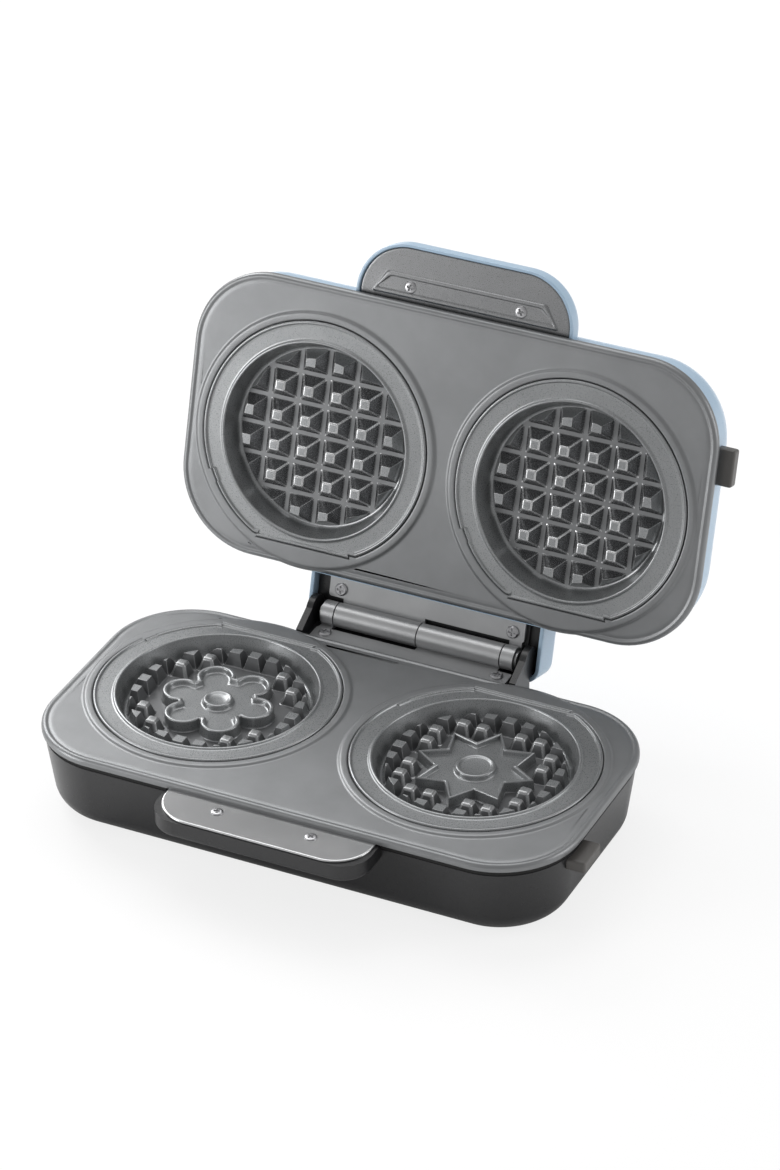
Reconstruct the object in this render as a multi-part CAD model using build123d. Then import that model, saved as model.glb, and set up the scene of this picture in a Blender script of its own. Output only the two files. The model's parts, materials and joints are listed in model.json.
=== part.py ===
from build123d import *
import math
import os

# A waffle maker with two small round plates in each half and a lid on a knuckle hinge.
# Millimetres, X along the hinge, front at -Y, up at +Z. It is drawn with z = 0 on the base's deck
# and y = 0 on the line through the plate centres, and moved to its bottom centre at the end.
# Each half is drawn deck up. The lid is then mirrored over the base and opened about the hinge pin.

# Plates' places, and from them the plan of both halves
plate_pitch = 140.2
plate_radius = 61.7
ring_margin = 4.6
deck_ring_radius = plate_radius + ring_margin
side_margin = 5.95
front_margin = 14.0
back_margin = 0.8
deck_length = plate_pitch + 2 * (deck_ring_radius + side_margin)
deck_front = deck_ring_radius + front_margin
deck_back = deck_ring_radius + back_margin
corner_front = 41.5
corner_back = 42.7
closed_gap = 3.6
open_angle = 106

# Decks
deck_sheet = 1.6
deck_edge_width = 2.2
deck_edge_drop = 2.2
deck_edge_round = 1.1
deck_ring_rise = 0.8
seat_depth = 2.7
seat_ledge = 3.3
seat_wall = 2.0

# Waffle plates
plate_clearance = 0.3
plate_flat = 5.9
plate_chord = plate_radius - plate_flat
chord_half = math.sqrt(plate_radius ** 2 - plate_chord ** 2)
chord_notch = 1.6
key_angle = 151
key_width = 7.5
key_depth = 1.5
relief_depth = 1.0
plate_lip_width = 1.7
plate_lip_rise = 1.4
plate_ring_rise = 0.5
plate_rim = 11.7
cavity_top_radius = plate_radius - plate_rim
cavity_draft = 3.0
cavity_floor_radius = cavity_top_radius - cavity_draft
cavity_depth = 9.5
cavity_lip = 1.8
plate_wall = 2.6

# Pyramids of the upper plates and nubs of the lower ones
pyramid_pitch = 15.7
pyramid_base = 12.5
pyramid_top = 5.8
pyramid_height = 7.0
pyramid_count = 6
nub_pitch = 10.25
nub_base = 8.9
nub_top = 4.8
nub_height = 7.0
nub_count = 9
grid_margin = 1.5

# Raised motifs of the lower plates
motif_height = 6.0
motif_field = 3.2
motif_line = 2.4
petal_count = 6
petal_radius = 9.8
petal_reach = 20.0
flower_eye = 7.5
star_points = 8
star_outer = 31.0
star_inner = 20.5
star_eye = 10.0
motif_margin = 0.5

# Housings
wall = 2.4
rim_drop = 4.0
rim_lip_inset = 3.4
rim_lip_width = 2.2
base_inset = 1.6
base_depth = 44.8
base_edge_round = 21.8
base_lean = 7.8
lid_inset = 2.2
lid_depth = 42.0
lid_edge_round = 33.0
lid_lean = 1.5

# Feet and case screws
foot_height = 2.6
foot_radius = 7.0
foot_recess = 1.0
foot_taper = 6
foot_side_inset = 48.35
foot_front_inset = 40.3
foot_back_inset = 2.5
foot_x = deck_length / 2 - foot_side_inset
foot_front_y = deck_front - foot_front_inset
post_radius = 4.2
boss_radius = 5.2
case_screw_radius = 1.6
case_screw_head = 3.2
case_screw_grip = 10.0
case_screw_sink = 3.6
case_screw_spare = 1.0
case_screw_spot = (14.0, 46.0)
screw_clearance = 0.05

# Handles
base_handle_half = 57.0
base_handle_reach = 23.3
base_handle_front = deck_front + base_handle_reach
base_handle_depth = 9.5
base_handle_round = 15.0
base_handle_edge = 3.0
base_cover_half = 54.0
base_cover_inset = 3.7
base_cover_front = base_handle_front - base_cover_inset
base_cover_drop = 3.0
base_handle_screw = (25.0, deck_front + 8.2)
lid_handle_half = 59.6
lid_handle_reach = 32.3
lid_handle_front = deck_front + lid_handle_reach
lid_handle_narrow = 6.0
lid_handle_depth = 13.2
lid_handle_round = 21.0
lid_handle_edge = 4.5
lid_handle_top = 4.4
lid_cover_margin = 3.9
lid_cover_drop = 5.6
lid_handle_screw = (30.0, deck_front + 9.2)
cover_sheet = 1.2
cover_edge = 0.6
cover_gap = 0.3
handle_wall = 2.2
handle_floor = 2.4
bead_back = deck_front + 4.2
bead_width = 11.0
bead_front = bead_back + bead_width
bead_half_back = 51.0
bead_half_front = 44.0
bead_rise = 0.9
bead_slope = 45

# Hinge
axis_reach = 18.8
axis_y = deck_back + axis_reach
axis_z = closed_gap / 2
barrel_radius = 6.3
pin_radius = 3.0
pin_clearance = 0.05
pin_head_radius = 4.4
pin_head = 1.0
leaf_half = 54.0
leaf_gap = 0.8
leaf_front = deck_back + leaf_gap
leaf_sheet = 2.0
leaf_corner = 1.5
knuckle_end = 53.0
knuckle_split = 46.0
knuckle_gap = 0.6
barrel_clearance = 1.2
body_clearance = 0.4
leaf_screw = (47.5, deck_back + 6.7)
screw_head_radius = 3.3
screw_head = 1.3
screw_shank = 1.5
screw_length = 7.0
screw_slot = 0.9
screw_slot_length = 4.0

# Tails round the hinge
tail_half = 64.5
tail_overlap = 19.1
tail_reach = 12.1
tail_root = deck_back - tail_overlap
tail_end = axis_y + tail_reach
tail_depth = 25.0
tail_corner = 8.0
tail_edge_round = 9.0
tail_rim = 1.0
tail_wall = 2.2
cheek_outer = 60.6
cheek_sheet = 3.4
cheek_radius = 8.0
tail_block_inset = 1.3
tail_block_back = axis_y - tail_block_inset
tail_block_depth = 13.0
liner_sheet = 2.4
pad_clearance = 1.6

# Legs under the hinge, which keep the open lid from tipping the base
leg_width = 30.0
leg_reach = 6.1
leg_shoulder = 8.5
leg_root = 20.0
leg_corner = 4.0
leg_back = axis_y + leg_reach
leg_x = cheek_outer - leg_width / 2
foot_back_y = leg_back - foot_radius - foot_back_inset

# Release bar, button, spring and catches
button_y = 34.6
button_length = 20.2
button_height = 6.4
button_middle = 11.0
button_reach = 8.8
button_travel = 4.0
button_gap = 0.6
button_round = 1.4
bar_top = 15.0
bar_sheet = 3.0
bar_front_inset = 11.3
bar_end_inset = 30.35
bar_side_inset = 13.35
bar_y = deck_front - bar_front_inset
bar_end = deck_length / 2 - bar_end_inset
bar_side = deck_length / 2 - bar_side_inset
bar_width = 5.4
bar_corner = 4.0
arm_width = 7.0
arm_front = 14.0
arm_back = 6.0
arm_turn = 18.0
stem_width = 8.0
catch_sheet = 0.8
catch_width = 4.0
catch_inset = 3.5
catch_y = cavity_top_radius - catch_inset
catch_x = 34.4
catch_foot = 7.0
catch_grip = 2.5
lug_reach = 31.0
lug_inner = 24.0
lug_width = 4.4
lug_top = 6.0
lug_height = 2.0
hook_gap = 0.2
spring_sheet = 0.5
spring_rest = 5.6
spring_bow = 8.0
spring_stop_rise = 1.0
guide_width = 6.0
guide_x = 67.2

# Heating
heater_half = 36.0
heater_tube = 6.4
heater_flat = 3.6
heater_gap = 0.4
heater_lead = 14.0
lead_pin = 2.4
reflector_end_inset = 22.35
reflector_back_inset = 13.1
reflector_length = deck_length - 2 * reflector_end_inset
reflector_width = 2 * (deck_back - reflector_back_inset)
reflector_floor = 22.5
reflector_sheet = 0.6
reflector_edge = 3.0
reflector_corner = 30.0
thermostat_radius = 8.0
thermostat_height = 6.0
thermostat_x = 9.0
thermostat_gap = 1.0
thermostat_tabs = 24.0
thermostat_tab_width = 4.0
thermostat_tab_drop = 2.0
fuse_radius = 2.0
fuse_length = 14.0
fuse_y = -14.0
terminal_length = 22.0
terminal_width = 14.0
terminal_height = 12.0
terminal_side_inset = 62.35
terminal_back_inset = 28.6
terminal_x = terminal_side_inset - deck_length / 2
terminal_y = deck_back - terminal_back_inset
terminal_bore = 2.0
terminal_bore_depth = 4.0
wire_radius = 1.2
wire_bend = 3.0
wire_step = 3.2
wire_drop = 32.4
wire_tail = 10.0
bush_side_inset = 42.35
bush_x = bush_side_inset - deck_length / 2
bush_z = -19.0
bush_bore = 4.2
bush_outer = 6.6
bush_flange = 8.6
bush_flange_sheet = 2.0
bush_length = 9.8

# Lights in the lid
lens_x = 7.5
lens_y = 24.0
lens_radius = 2.6
lens_flange = 3.6
lens_rise = 0.8
lens_length = 5.0
board_length = 34.0
board_width = 14.0
board_sheet = 1.6

spring_length = button_travel + spring_rest
centres = (-plate_pitch / 2, plate_pitch / 2)
sides = ("left", "right")


def slab(sketch, low, high):
    """A prism of a sketch between two heights."""
    return extrude(Pos(0, 0, low) * sketch, amount=high - low)


def block(x0, x1, y0, y1, z0, z1):
    """A box between two corners."""
    middle = Pos((x0 + x1) / 2, (y0 + y1) / 2, (z0 + z1) / 2)
    return middle * Box(x1 - x0, y1 - y0, z1 - z0)


def deck_outline(inset):
    """The plan of both halves: a long rectangle with large round corners."""
    length = deck_length - 2 * inset
    width = deck_front + deck_back - 2 * inset
    shape = Pos(0, (deck_back - deck_front) / 2) * Rectangle(length, width)
    shape = fillet(shape.vertices().group_by(Axis.Y)[0], corner_front - inset)
    return fillet(shape.vertices().group_by(Axis.Y)[-1], corner_back - inset)


def tub(inset, depth, edge_round, lean, top):
    """A leaning tub below a height, its lower edge rounded."""
    outline = Pos(0, 0, -top) * deck_outline(inset)
    body = extrude(outline, amount=depth - top, dir=(0, 0, -1), taper=lean)
    return fillet(body.faces().sort_by(Axis.Z)[0].edges(), edge_round)


def wedge(start, end, reach):
    """A sector of a disc between two angles, in degrees."""
    corners = [(0, 0)]
    steps = 4
    for step in range(steps + 1):
        angle = math.radians(start + (end - start) * step / steps)
        corners.append((reach * math.cos(angle), reach * math.sin(angle)))
    return make_face(Polyline(*corners, close=True))


def plate_outline(grow):
    """A plate's plan, grown or shrunk: a disc with a flat towards the hinge, a key and a relieved arc."""
    radius = plate_radius + grow
    chord = plate_chord + grow
    shape = Circle(radius) - Pos(0, chord + radius) * Rectangle(2 * radius, 2 * radius)
    for side in (-1, 1):
        bite = chord_notch - grow
        shape -= Pos(side * (chord_half + bite), chord) * Rectangle(2 * bite, 2 * bite)
    chord_angle = math.degrees(math.acos(-chord_half / plate_radius))
    outer = Circle(radius + seat_ledge)
    relief = (outer - Circle(radius - relief_depth)) & wedge(chord_angle, key_angle, 2 * radius)
    half_key = math.degrees(key_width / 2 / plate_radius)
    key_sector = wedge(key_angle - half_key, key_angle + half_key, 2 * radius)
    key = (outer - Circle(radius - key_depth)) & key_sector
    return shape - relief - key


def frustum(base, top, height):
    """A square pyramid with its point cut off, standing on z = 0."""
    lean = math.degrees(math.atan((base - top) / 2 / height))
    return extrude(Rectangle(base, base), amount=height, taper=lean)


def plate_grid(pitch, count, base, top, height, middle):
    """A square grid of frustums on the cavity's floor, clear of a middle and cut off by a cone at its wall."""
    one = frustum(base, top, height)
    own_space = Rectangle(base + 2 * motif_margin, base + 2 * motif_margin)
    bodies = []
    for column in range(count):
        for row in range(count):
            x = (column - (count - 1) / 2) * pitch
            y = (row - (count - 1) / 2) * pitch
            if math.hypot(x, y) > cavity_floor_radius:
                continue
            if middle is not None and overlap(middle, Pos(x, y) * own_space):
                continue
            bodies.append(Pos(x, y, -cavity_depth) * one)
    foot_reach = cavity_floor_radius - grid_margin
    top_reach = foot_reach - (base - top) / 2
    well = Cone(foot_reach, top_reach, height, align=(Align.CENTER, Align.CENTER, Align.MIN))
    well = Pos(0, 0, -cavity_depth) * well
    return [body & well for body in bodies]


def overlap(first, second):
    """Whether two sketches share an area."""
    shared = first & second
    return shared is not None and sum(face.area for face in shared.faces()) > 0


def flower():
    """The flower's outline, its smaller copy and its eye."""
    def petals(shrink):
        shape = Circle(petal_reach)
        for index in range(petal_count):
            spot = PolarLocations(petal_reach, petal_count).locations[index]
            shape += spot * Circle(petal_radius - shrink)
        return shape
    return petals(0), petals(motif_line), Circle(flower_eye)


def star():
    """The star's outline, its smaller copy and its eye."""
    def rays(shrink):
        corners = []
        for index in range(2 * star_points):
            reach = (star_outer if index % 2 == 0 else star_inner) - shrink
            angle = math.pi * index / star_points
            corners.append((reach * math.cos(angle), reach * math.sin(angle)))
        return make_face(Polyline(*corners, close=True))
    return rays(0), rays(motif_line), Circle(star_eye)


def motif(shapes):
    """A raised line round a lower field, and a round eye, on the cavity's floor."""
    outer, inner, eye = shapes
    floor = -cavity_depth
    line = slab(outer - inner, floor, floor + motif_height)
    field = slab(inner, floor, floor + motif_field)
    button = slab(eye, floor, floor + motif_height)
    return line + field + button


def waffle_plate(grid, middle):
    """A cast plate: keyed rim, sunk ring, tapered cavity, and the lug that the catch holds."""
    flange_low = -seat_depth
    bowl_low = -cavity_depth - plate_wall
    bowl_radius = cavity_top_radius + cavity_lip
    body = slab(plate_outline(0), flange_low, plate_lip_rise)
    ring = plate_outline(-plate_lip_width) - Circle(bowl_radius)
    body -= slab(ring, plate_ring_rise, plate_lip_rise)
    body += slab(Circle(bowl_radius), bowl_low, flange_low)
    lug_low = -lug_top - lug_height
    half_lug = lug_width / 2
    body += block(-lug_reach, -lug_inner, -catch_y - half_lug, -catch_y + half_lug, lug_low, -lug_top)
    slope = (cavity_top_radius - cavity_floor_radius) / cavity_depth
    top_radius = cavity_top_radius + slope * plate_lip_rise
    height = cavity_depth + plate_lip_rise
    well = Cone(cavity_floor_radius, top_radius, height, align=(Align.CENTER, Align.CENTER, Align.MIN))
    body -= Pos(0, 0, -cavity_depth) * well
    body += grid
    if middle is not None:
        body += motif(middle)
    return body


def deck():
    """A pressed sheet with a turned edge, and for each plate a raised ring round a stepped seat."""
    body = slab(deck_outline(0), -deck_sheet, 0)
    body += slab(deck_outline(0) - deck_outline(deck_edge_width), -deck_sheet - deck_edge_drop, -deck_sheet)
    body = fillet(body.faces().sort_by(Axis.Z)[-1].outer_wire().edges(), deck_edge_round)
    for x in centres:
        spot = Pos(x, 0, 0)
        body += spot * slab(Circle(deck_ring_radius), 0, deck_ring_rise)
        body += spot * slab(plate_outline(plate_clearance + seat_wall), -seat_depth - deck_sheet, 0)
    for x in centres:
        spot = Pos(x, 0, 0)
        body -= spot * slab(plate_outline(plate_clearance), -seat_depth, deck_ring_rise)
        body -= spot * slab(plate_outline(-seat_ledge), -seat_depth - deck_sheet, deck_ring_rise)
    return body


def handle_outline(half, front, narrow, corner):
    """A handle's plan: a trapezoid that reaches back under the deck, rounded at the front."""
    root = deck_front - wall
    corners = [(-half, -root), (half, -root), (half - narrow, -front), (narrow - half, -front)]
    shape = make_face(Polyline(*corners, close=True))
    return fillet(shape.vertices().group_by(Axis.Y)[0], corner)


def rim_lip():
    """The upstand that the deck rests on, set in from the housing's wall."""
    ring = deck_outline(rim_lip_inset) - deck_outline(rim_lip_inset + rim_lip_width)
    return slab(ring, -rim_drop - wall, -deck_sheet)


def button_slot(grow):
    """The space of a release button where it goes through the housing's side."""
    half_length = button_length / 2 + grow
    half_height = button_height / 2 + grow
    outer = deck_length / 2 + button_reach
    inner = deck_length / 2 - rim_lip_inset - rim_lip_width - wall
    return block(
        inner, outer, -button_y - half_length, -button_y + half_length,
        -button_middle - half_height, -button_middle + half_height,
    )


def post_spots():
    """Where the four posts stand that clamp the reflector, between the plates."""
    x, y = case_screw_spot
    return [(-x, -y), (x, -y), (-x, y), (x, y)]


def post_low():
    """How far down the deck's posts reach, to the reflector's sheet."""
    return -reflector_floor - reflector_edge + reflector_sheet


def boss_top():
    """How far up the housing's bosses reach, to the reflector's sheet."""
    return -reflector_floor - reflector_edge


def foot_spots():
    """Where the four feet stand, with their names."""
    return {
        "front_left": (-foot_x, -foot_front_y), "front_right": (foot_x, -foot_front_y),
        "back_left": (-leg_x, foot_back_y), "back_right": (leg_x, foot_back_y),
    }


def spring_stop():
    """The rib that the release bar's spring pushes on."""
    x = -bar_end - spring_length
    y = -bar_y + bar_width / 2
    return block(x - wall, x, y, y + spring_bow + 2 * wall, -bar_top - bar_sheet - wall,
                 -bar_top + spring_stop_rise)


def guides():
    """Ribs that the release bar slides on."""
    top = -bar_top - bar_sheet - body_clearance
    ribs = []
    for x in (-guide_x, guide_x):
        ribs.append(block(x, x + guide_width, -deck_front, -bar_y + bar_width, -base_depth, top))
    return ribs


def base_housing():
    """The black tub: leaning walls, handle lip, hinge cheeks, bosses and the bush's hole."""
    outer = tub(base_inset, base_depth, base_edge_round, base_lean, rim_drop)
    cavity = tub(base_inset + wall, base_depth - wall, base_edge_round - wall, base_lean, rim_drop)
    whole = outer
    plan = handle_outline(base_handle_half, base_handle_front, 0, base_handle_round)
    cover_low = base_cover_drop + cover_sheet
    lip = slab(plan, -cover_low - base_handle_depth, -cover_low)
    low_edges = lip.faces().sort_by(Axis.Z)[0].edges().filter_by(lambda e: e.center().Y < -deck_front)
    whole += fillet(low_edges, base_handle_edge)
    whole += slab(
        Pos(0, (deck_back + tail_block_back) / 2 - wall) * Rectangle(
            2 * cheek_outer, tail_block_back - deck_back + 2 * wall),
        -barrel_low() - tail_block_depth, -barrel_low(),
    )
    for side in (-1, 1):
        whole += leg(side, 0)
    body = whole - cavity
    for side in (-1, 1):
        body -= leg(side, wall)
    body -= block(
        -leaf_half - barrel_clearance, leaf_half + barrel_clearance,
        axis_y - barrel_radius - barrel_clearance, tail_block_back + wall,
        -barrel_low() - body_clearance, 0,
    )
    for side in (-1, 1):
        body += cheek(side)
    body += rim_lip() - block(
        -cheek_outer, cheek_outer, deck_back - rim_lip_inset - rim_lip_width, deck_back, -barrel_low(), 0)
    for x, y in post_spots():
        boss = Pos(x, y) * slab(Circle(boss_radius), -base_depth, boss_top())
        body += boss & outer
    for rib in guides() + [spring_stop()]:
        body += rib & outer
    for x, y in post_spots():
        body -= Pos(x, y) * slab(Circle(case_screw_radius + screw_clearance), -base_depth, boss_top())
        body -= Pos(x, y) * slab(Circle(case_screw_head + body_clearance), -base_depth, screw_seat())
    for x, y in foot_spots().values():
        body -= Pos(x, y) * slab(Circle(foot_radius), -base_depth, -base_depth + foot_recess)
    body -= button_slot(button_gap)
    body -= Pos(bush_x, deck_back, bush_z) * Rot(90, 0, 0) * Cylinder(bush_outer, 4 * bush_length)
    screw_x, screw_y = base_handle_screw
    for side in (-1, 1):
        body -= screw_hole(side * screw_x, -screw_y, -cover_low)
        body -= screw_hole(side * leaf_screw[0], leaf_screw[1], -barrel_low())
    return body


def barrel_low():
    """How far the barrel's underside, and so the leaf's, lies below the deck's top."""
    return barrel_radius - axis_z


def screw_seat():
    """The height at which the case screws' heads bear."""
    return -base_depth + case_screw_sink


def screw_hole(x, y, top):
    """A clearance hole for one of the small screws below a height."""
    return Pos(x, y) * slab(Circle(screw_shank + screw_clearance), top - screw_length, top)


def cheek(side):
    """A cheek beside the hinge: a web from the rear wall that ends round the pin's axis."""
    low = -barrel_low() - tail_block_depth
    with BuildSketch(Plane.YZ) as profile:
        with Locations((axis_y, axis_z)):
            Circle(cheek_radius)
        with BuildLine():
            Polyline(
                (deck_back - wall, low), (tail_block_back, low), (tail_block_back, axis_z),
                (axis_y, axis_z + cheek_radius), (deck_back + body_clearance, 0),
                (deck_back + body_clearance, -rim_drop), (deck_back - wall, -rim_drop), close=True,
            )
        make_face()
    web = extrude(profile.sketch, amount=cheek_sheet)
    start = cheek_outer - cheek_sheet if side > 0 else -cheek_outer
    return Pos(start, 0, 0) * web


def leg(side, inset):
    """A leg behind the tub, under the hinge's block, or with an inset the hollow inside it."""
    low = -base_depth + inset
    shoulder = -barrel_low() - tail_block_depth
    corners = [
        (deck_back - leg_root, low), (leg_back - inset, low), (leg_back - inset, shoulder - leg_shoulder),
        (tail_block_back - inset, shoulder - inset), (deck_back - leg_root, shoulder - inset),
    ]
    width = leg_width - 2 * inset
    body = extrude(Plane.YZ * make_face(Polyline(*corners, close=True)), amount=width)
    body = fillet(body.edges().filter_by(Axis.Z).group_by(Axis.Y)[-1], leg_corner - inset)
    return Pos(side * leg_x - width / 2, 0, 0) * body


def hinge_leaf(own, other):
    """A flat leaf with its knuckles, cut back round the other leaf's knuckles."""
    low = -barrel_low()
    relief = axis_y - barrel_radius - barrel_clearance
    plan = Pos(0, (leaf_front + relief) / 2) * Rectangle(2 * leaf_half, relief - leaf_front)
    plan = fillet(plan.vertices().group_by(Axis.Y)[-1], leaf_corner)
    body = slab(plan, low, low + leaf_sheet)
    for start, end in own:
        body += block(start, end, relief - 2 * leaf_corner, axis_y, low, low + leaf_sheet)
        barrel = Rot(0, 90, 0) * Cylinder(barrel_radius, end - start)
        body += Pos((start + end) / 2, axis_y, axis_z) * barrel
    body -= Pos(0, axis_y, axis_z) * Rot(0, 90, 0) * Cylinder(pin_radius + pin_clearance, 2 * leaf_half)
    for side in (-1, 1):
        hole = slab(Circle(screw_shank + screw_clearance), low, low + leaf_sheet)
        body -= Pos(side * leaf_screw[0], leaf_screw[1]) * hole
    return body


def hinge_pin():
    """The pin through all the knuckles, with a head at each end."""
    half = knuckle_end + knuckle_gap / 2
    body = Rot(0, 90, 0) * Cylinder(pin_radius, 2 * half)
    for side in (-1, 1):
        body += Pos(side * (half + pin_head / 2), 0, 0) * Rot(0, 90, 0) * Cylinder(pin_head_radius, pin_head)
    return Pos(0, axis_y, axis_z) * body


def screw(x, y, top):
    """A small cross-slotted screw whose head bears at a height."""
    head = slab(Circle(screw_head_radius), 0, screw_head)
    head = chamfer(head.faces().sort_by(Axis.Z)[-1].edges(), screw_head / 2)
    for turn in (0, 90):
        slot = Rot(0, 0, turn) * Box(screw_slot_length, screw_slot, screw_head)
        head -= Pos(0, 0, screw_head) * slot
    body = head + slab(Circle(screw_shank), -screw_length + screw_clearance, 0)
    return Pos(x, y, top) * body


def screw_pair(spot, sign, top):
    """Two screws, left and right of the middle."""
    x, y = spot
    return Compound(children=[screw(-x, sign * y, top), screw(x, sign * y, top)])


def base_handle_cover():
    """The smooth metal cover of the base's handle, its front edge turned down."""
    margin = base_handle_half - base_cover_half
    plan = handle_outline(base_cover_half, base_cover_front, 0, base_handle_round - margin)
    plan -= Pos(0, -deck_front + wall) * Rectangle(2 * deck_length, 2 * wall + cover_gap)
    body = slab(plan, -base_cover_drop - cover_sheet, -base_cover_drop)
    top_edges = body.faces().sort_by(Axis.Z)[-1].edges()
    body = fillet(top_edges.filter_by(lambda e: e.center().Y < -deck_front - 2 * wall), cover_edge)
    hole = slab(Circle(screw_shank + screw_clearance), -base_cover_drop - cover_sheet, 0)
    for side in (-1, 1):
        x, y = base_handle_screw
        body -= Pos(side * x, -y) * hole
    return body


def lid_handle_cover():
    """The lid handle's metal cover, with a raised trapezoid between its screws and edge."""
    plan = handle_outline(
        lid_handle_half - lid_cover_margin, lid_handle_front - lid_cover_margin,
        lid_handle_narrow, lid_handle_round - lid_cover_margin,
    )
    plan -= Pos(0, -deck_front + wall) * Rectangle(2 * deck_length, 2 * wall + cover_gap)
    low = -lid_cover_drop - cover_sheet
    body = slab(plan, low, -lid_cover_drop)
    corners = [
        (-bead_half_back, -bead_back), (bead_half_back, -bead_back),
        (bead_half_front, -bead_front), (-bead_half_front, -bead_front),
    ]
    trapezoid = make_face(Polyline(*corners, close=True))
    bead = extrude(Pos(0, 0, -lid_cover_drop) * trapezoid, amount=bead_rise, taper=bead_slope)
    body += bead
    for side in (-1, 1):
        x, y = lid_handle_screw
        body -= Pos(side * x, -y) * slab(Circle(screw_shank + screw_clearance), low, 0)
    return body


def lid_housing():
    """The light blue shell: a domed tub with its handle in front and its tail over the hinge."""
    outer = tub(lid_inset, lid_depth, lid_edge_round, lid_lean, rim_drop)
    cavity = tub(lid_inset + wall, lid_depth - wall, lid_edge_round - wall, lid_lean, rim_drop)
    handle_plan = handle_outline(lid_handle_half, lid_handle_front, lid_handle_narrow, lid_handle_round)
    handle = slab(handle_plan, -lid_handle_top - lid_handle_depth, -lid_handle_top)
    low_edges = handle.faces().sort_by(Axis.Z)[0].edges().filter_by(lambda e: e.center().Y < -deck_front)
    handle = fillet(low_edges, lid_handle_edge)
    tail_plan = Pos(0, (tail_root + tail_end) / 2) * Rectangle(2 * tail_half, tail_end - tail_root)
    tail_plan = fillet(tail_plan.vertices().group_by(Axis.Y)[-1], tail_corner)
    tail = slab(tail_plan, -tail_depth, -tail_rim)
    tail = fillet(tail.faces().sort_by(Axis.Z)[0].edges().filter_by(
        lambda e: e.center().Y > deck_back), tail_edge_round)
    tail_front = deck_back + body_clearance
    body = outer + handle + tail - cavity
    body -= slab(deck_outline(-body_clearance), -rim_drop, 0)
    # Room for the handle's cover, and the hollow under it with a boss for each screw
    cover_plan = handle_outline(
        lid_handle_half - lid_cover_margin + cover_gap, lid_handle_front - lid_cover_margin + cover_gap,
        lid_handle_narrow, lid_handle_round - lid_cover_margin + cover_gap,
    )
    cover_low = lid_cover_drop + cover_sheet
    front_only = Pos(0, -deck_front - deck_length / 2) * Rectangle(deck_length, deck_length)
    body -= slab(cover_plan & front_only, -cover_low, 0)
    margin = lid_cover_margin + handle_wall
    hollow_plan = handle_outline(
        lid_handle_half - margin, lid_handle_front - margin, lid_handle_narrow, lid_handle_round - margin)
    hollow_front = Pos(0, -deck_front - wall - deck_length / 2) * Rectangle(deck_length, deck_length)
    hollow_low = -lid_handle_top - lid_handle_depth + handle_floor
    body -= slab(hollow_plan & hollow_front, hollow_low, -cover_low)
    screw_x, screw_y = lid_handle_screw
    for side in (-1, 1):
        body += Pos(side * screw_x, -screw_y) * slab(Circle(2 * screw_shank), hollow_low, -cover_low)
    for side in (-1, 1):
        body -= screw_hole(side * screw_x, -screw_y, -cover_low)
    # The space of the hinge inside the tail
    inner = tail_half - tail_wall
    space_length = tail_end - tail_wall - tail_front
    space = Pos(0, tail_front + space_length / 2) * Rectangle(2 * inner, space_length)
    space = fillet(space.vertices().group_by(Axis.Y)[-1], tail_corner - tail_wall)
    body -= slab(space, -tail_depth + tail_wall, 0)
    body += rim_lip() - block(
        -lid_handle_half, lid_handle_half, -deck_front, -deck_front + rim_lip_inset, -lid_depth, 0)
    body += spring_stop() & outer
    for x, y in post_spots():
        body += Pos(x, y) * slab(Circle(boss_radius), -lid_depth, boss_top()) & outer
    body -= button_slot(button_gap)
    lens_hole = slab(Circle(lens_radius + screw_clearance), -lid_depth, -lid_depth + wall)
    for side in (-1, 1):
        body -= Pos(side * lens_x, -lens_y) * lens_hole
    return body


def lid_tail_liner():
    """The black moulding inside the tail that the lid's leaf is screwed to."""
    low = -barrel_low()
    back = tail_end - tail_wall - cover_gap
    front = leaf_front
    recess = axis_z - cheek_radius - body_clearance
    plan = Pos(0, (front + back) / 2) * Rectangle(2 * (tail_half - tail_wall - cover_gap), back - front)
    plan = fillet(plan.vertices().group_by(Axis.Y)[-1], tail_corner - tail_wall - cover_gap)
    body = slab(plan, recess - liner_sheet, recess)
    pad_half = cheek_outer - cheek_sheet - pad_clearance
    trough = low - body_clearance
    body += block(-pad_half, pad_half, front, axis_y + barrel_radius, recess, trough)
    body += block(-leaf_half, leaf_half, front, axis_y - barrel_radius - barrel_clearance, trough, low)
    for side in (-1, 1):
        body -= screw_hole(side * leaf_screw[0], leaf_screw[1], low)
    return body


def release_button():
    """The button that stands out of the housing's side, on the end of the release bar."""
    half_length = button_length / 2
    half_height = button_height / 2
    button = block(
        button_start(), deck_length / 2 + button_reach, -button_y - half_length, -button_y + half_length,
        -button_middle - half_height, -button_middle + half_height,
    )
    return fillet(button.faces().sort_by(Axis.X)[-1].edges(), button_round)


def release_bar():
    """The bar that carries the catches along the front of the plates."""
    top = -bar_top
    low = top - bar_sheet
    front = -bar_y - bar_width / 2
    back = -bar_y + bar_width / 2
    inner = bar_side - arm_width / 2
    outer = bar_side + arm_width / 2
    turn = -button_y - arm_front
    corners = [
        (-bar_end, front + bar_corner), (bar_corner - bar_end, front),
        (inner - arm_turn, front), (outer, turn), (outer, -button_y + arm_back),
        (inner, -button_y + arm_back), (inner, turn + bar_sheet), (inner - arm_turn - bar_sheet, back),
        (-bar_end, back),
    ]
    body = slab(make_face(Polyline(*corners, close=True)), low, top)
    body += block(-bar_end, -bar_end + wall, back, back + spring_bow + wall, low, top)
    for x in centres:
        body += block(x - catch_x - catch_foot, x - catch_x, back, back + catch_foot, low, top)
    stem_top = -button_middle + button_height / 2
    stem = stem_width / 2
    body += block(inner, button_start(), -button_y - stem, -button_y + stem, low, stem_top)
    return body


def button_start():
    """Where a button starts, inside the housing's wall."""
    return deck_length / 2 - base_inset - 4 * wall


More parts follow.
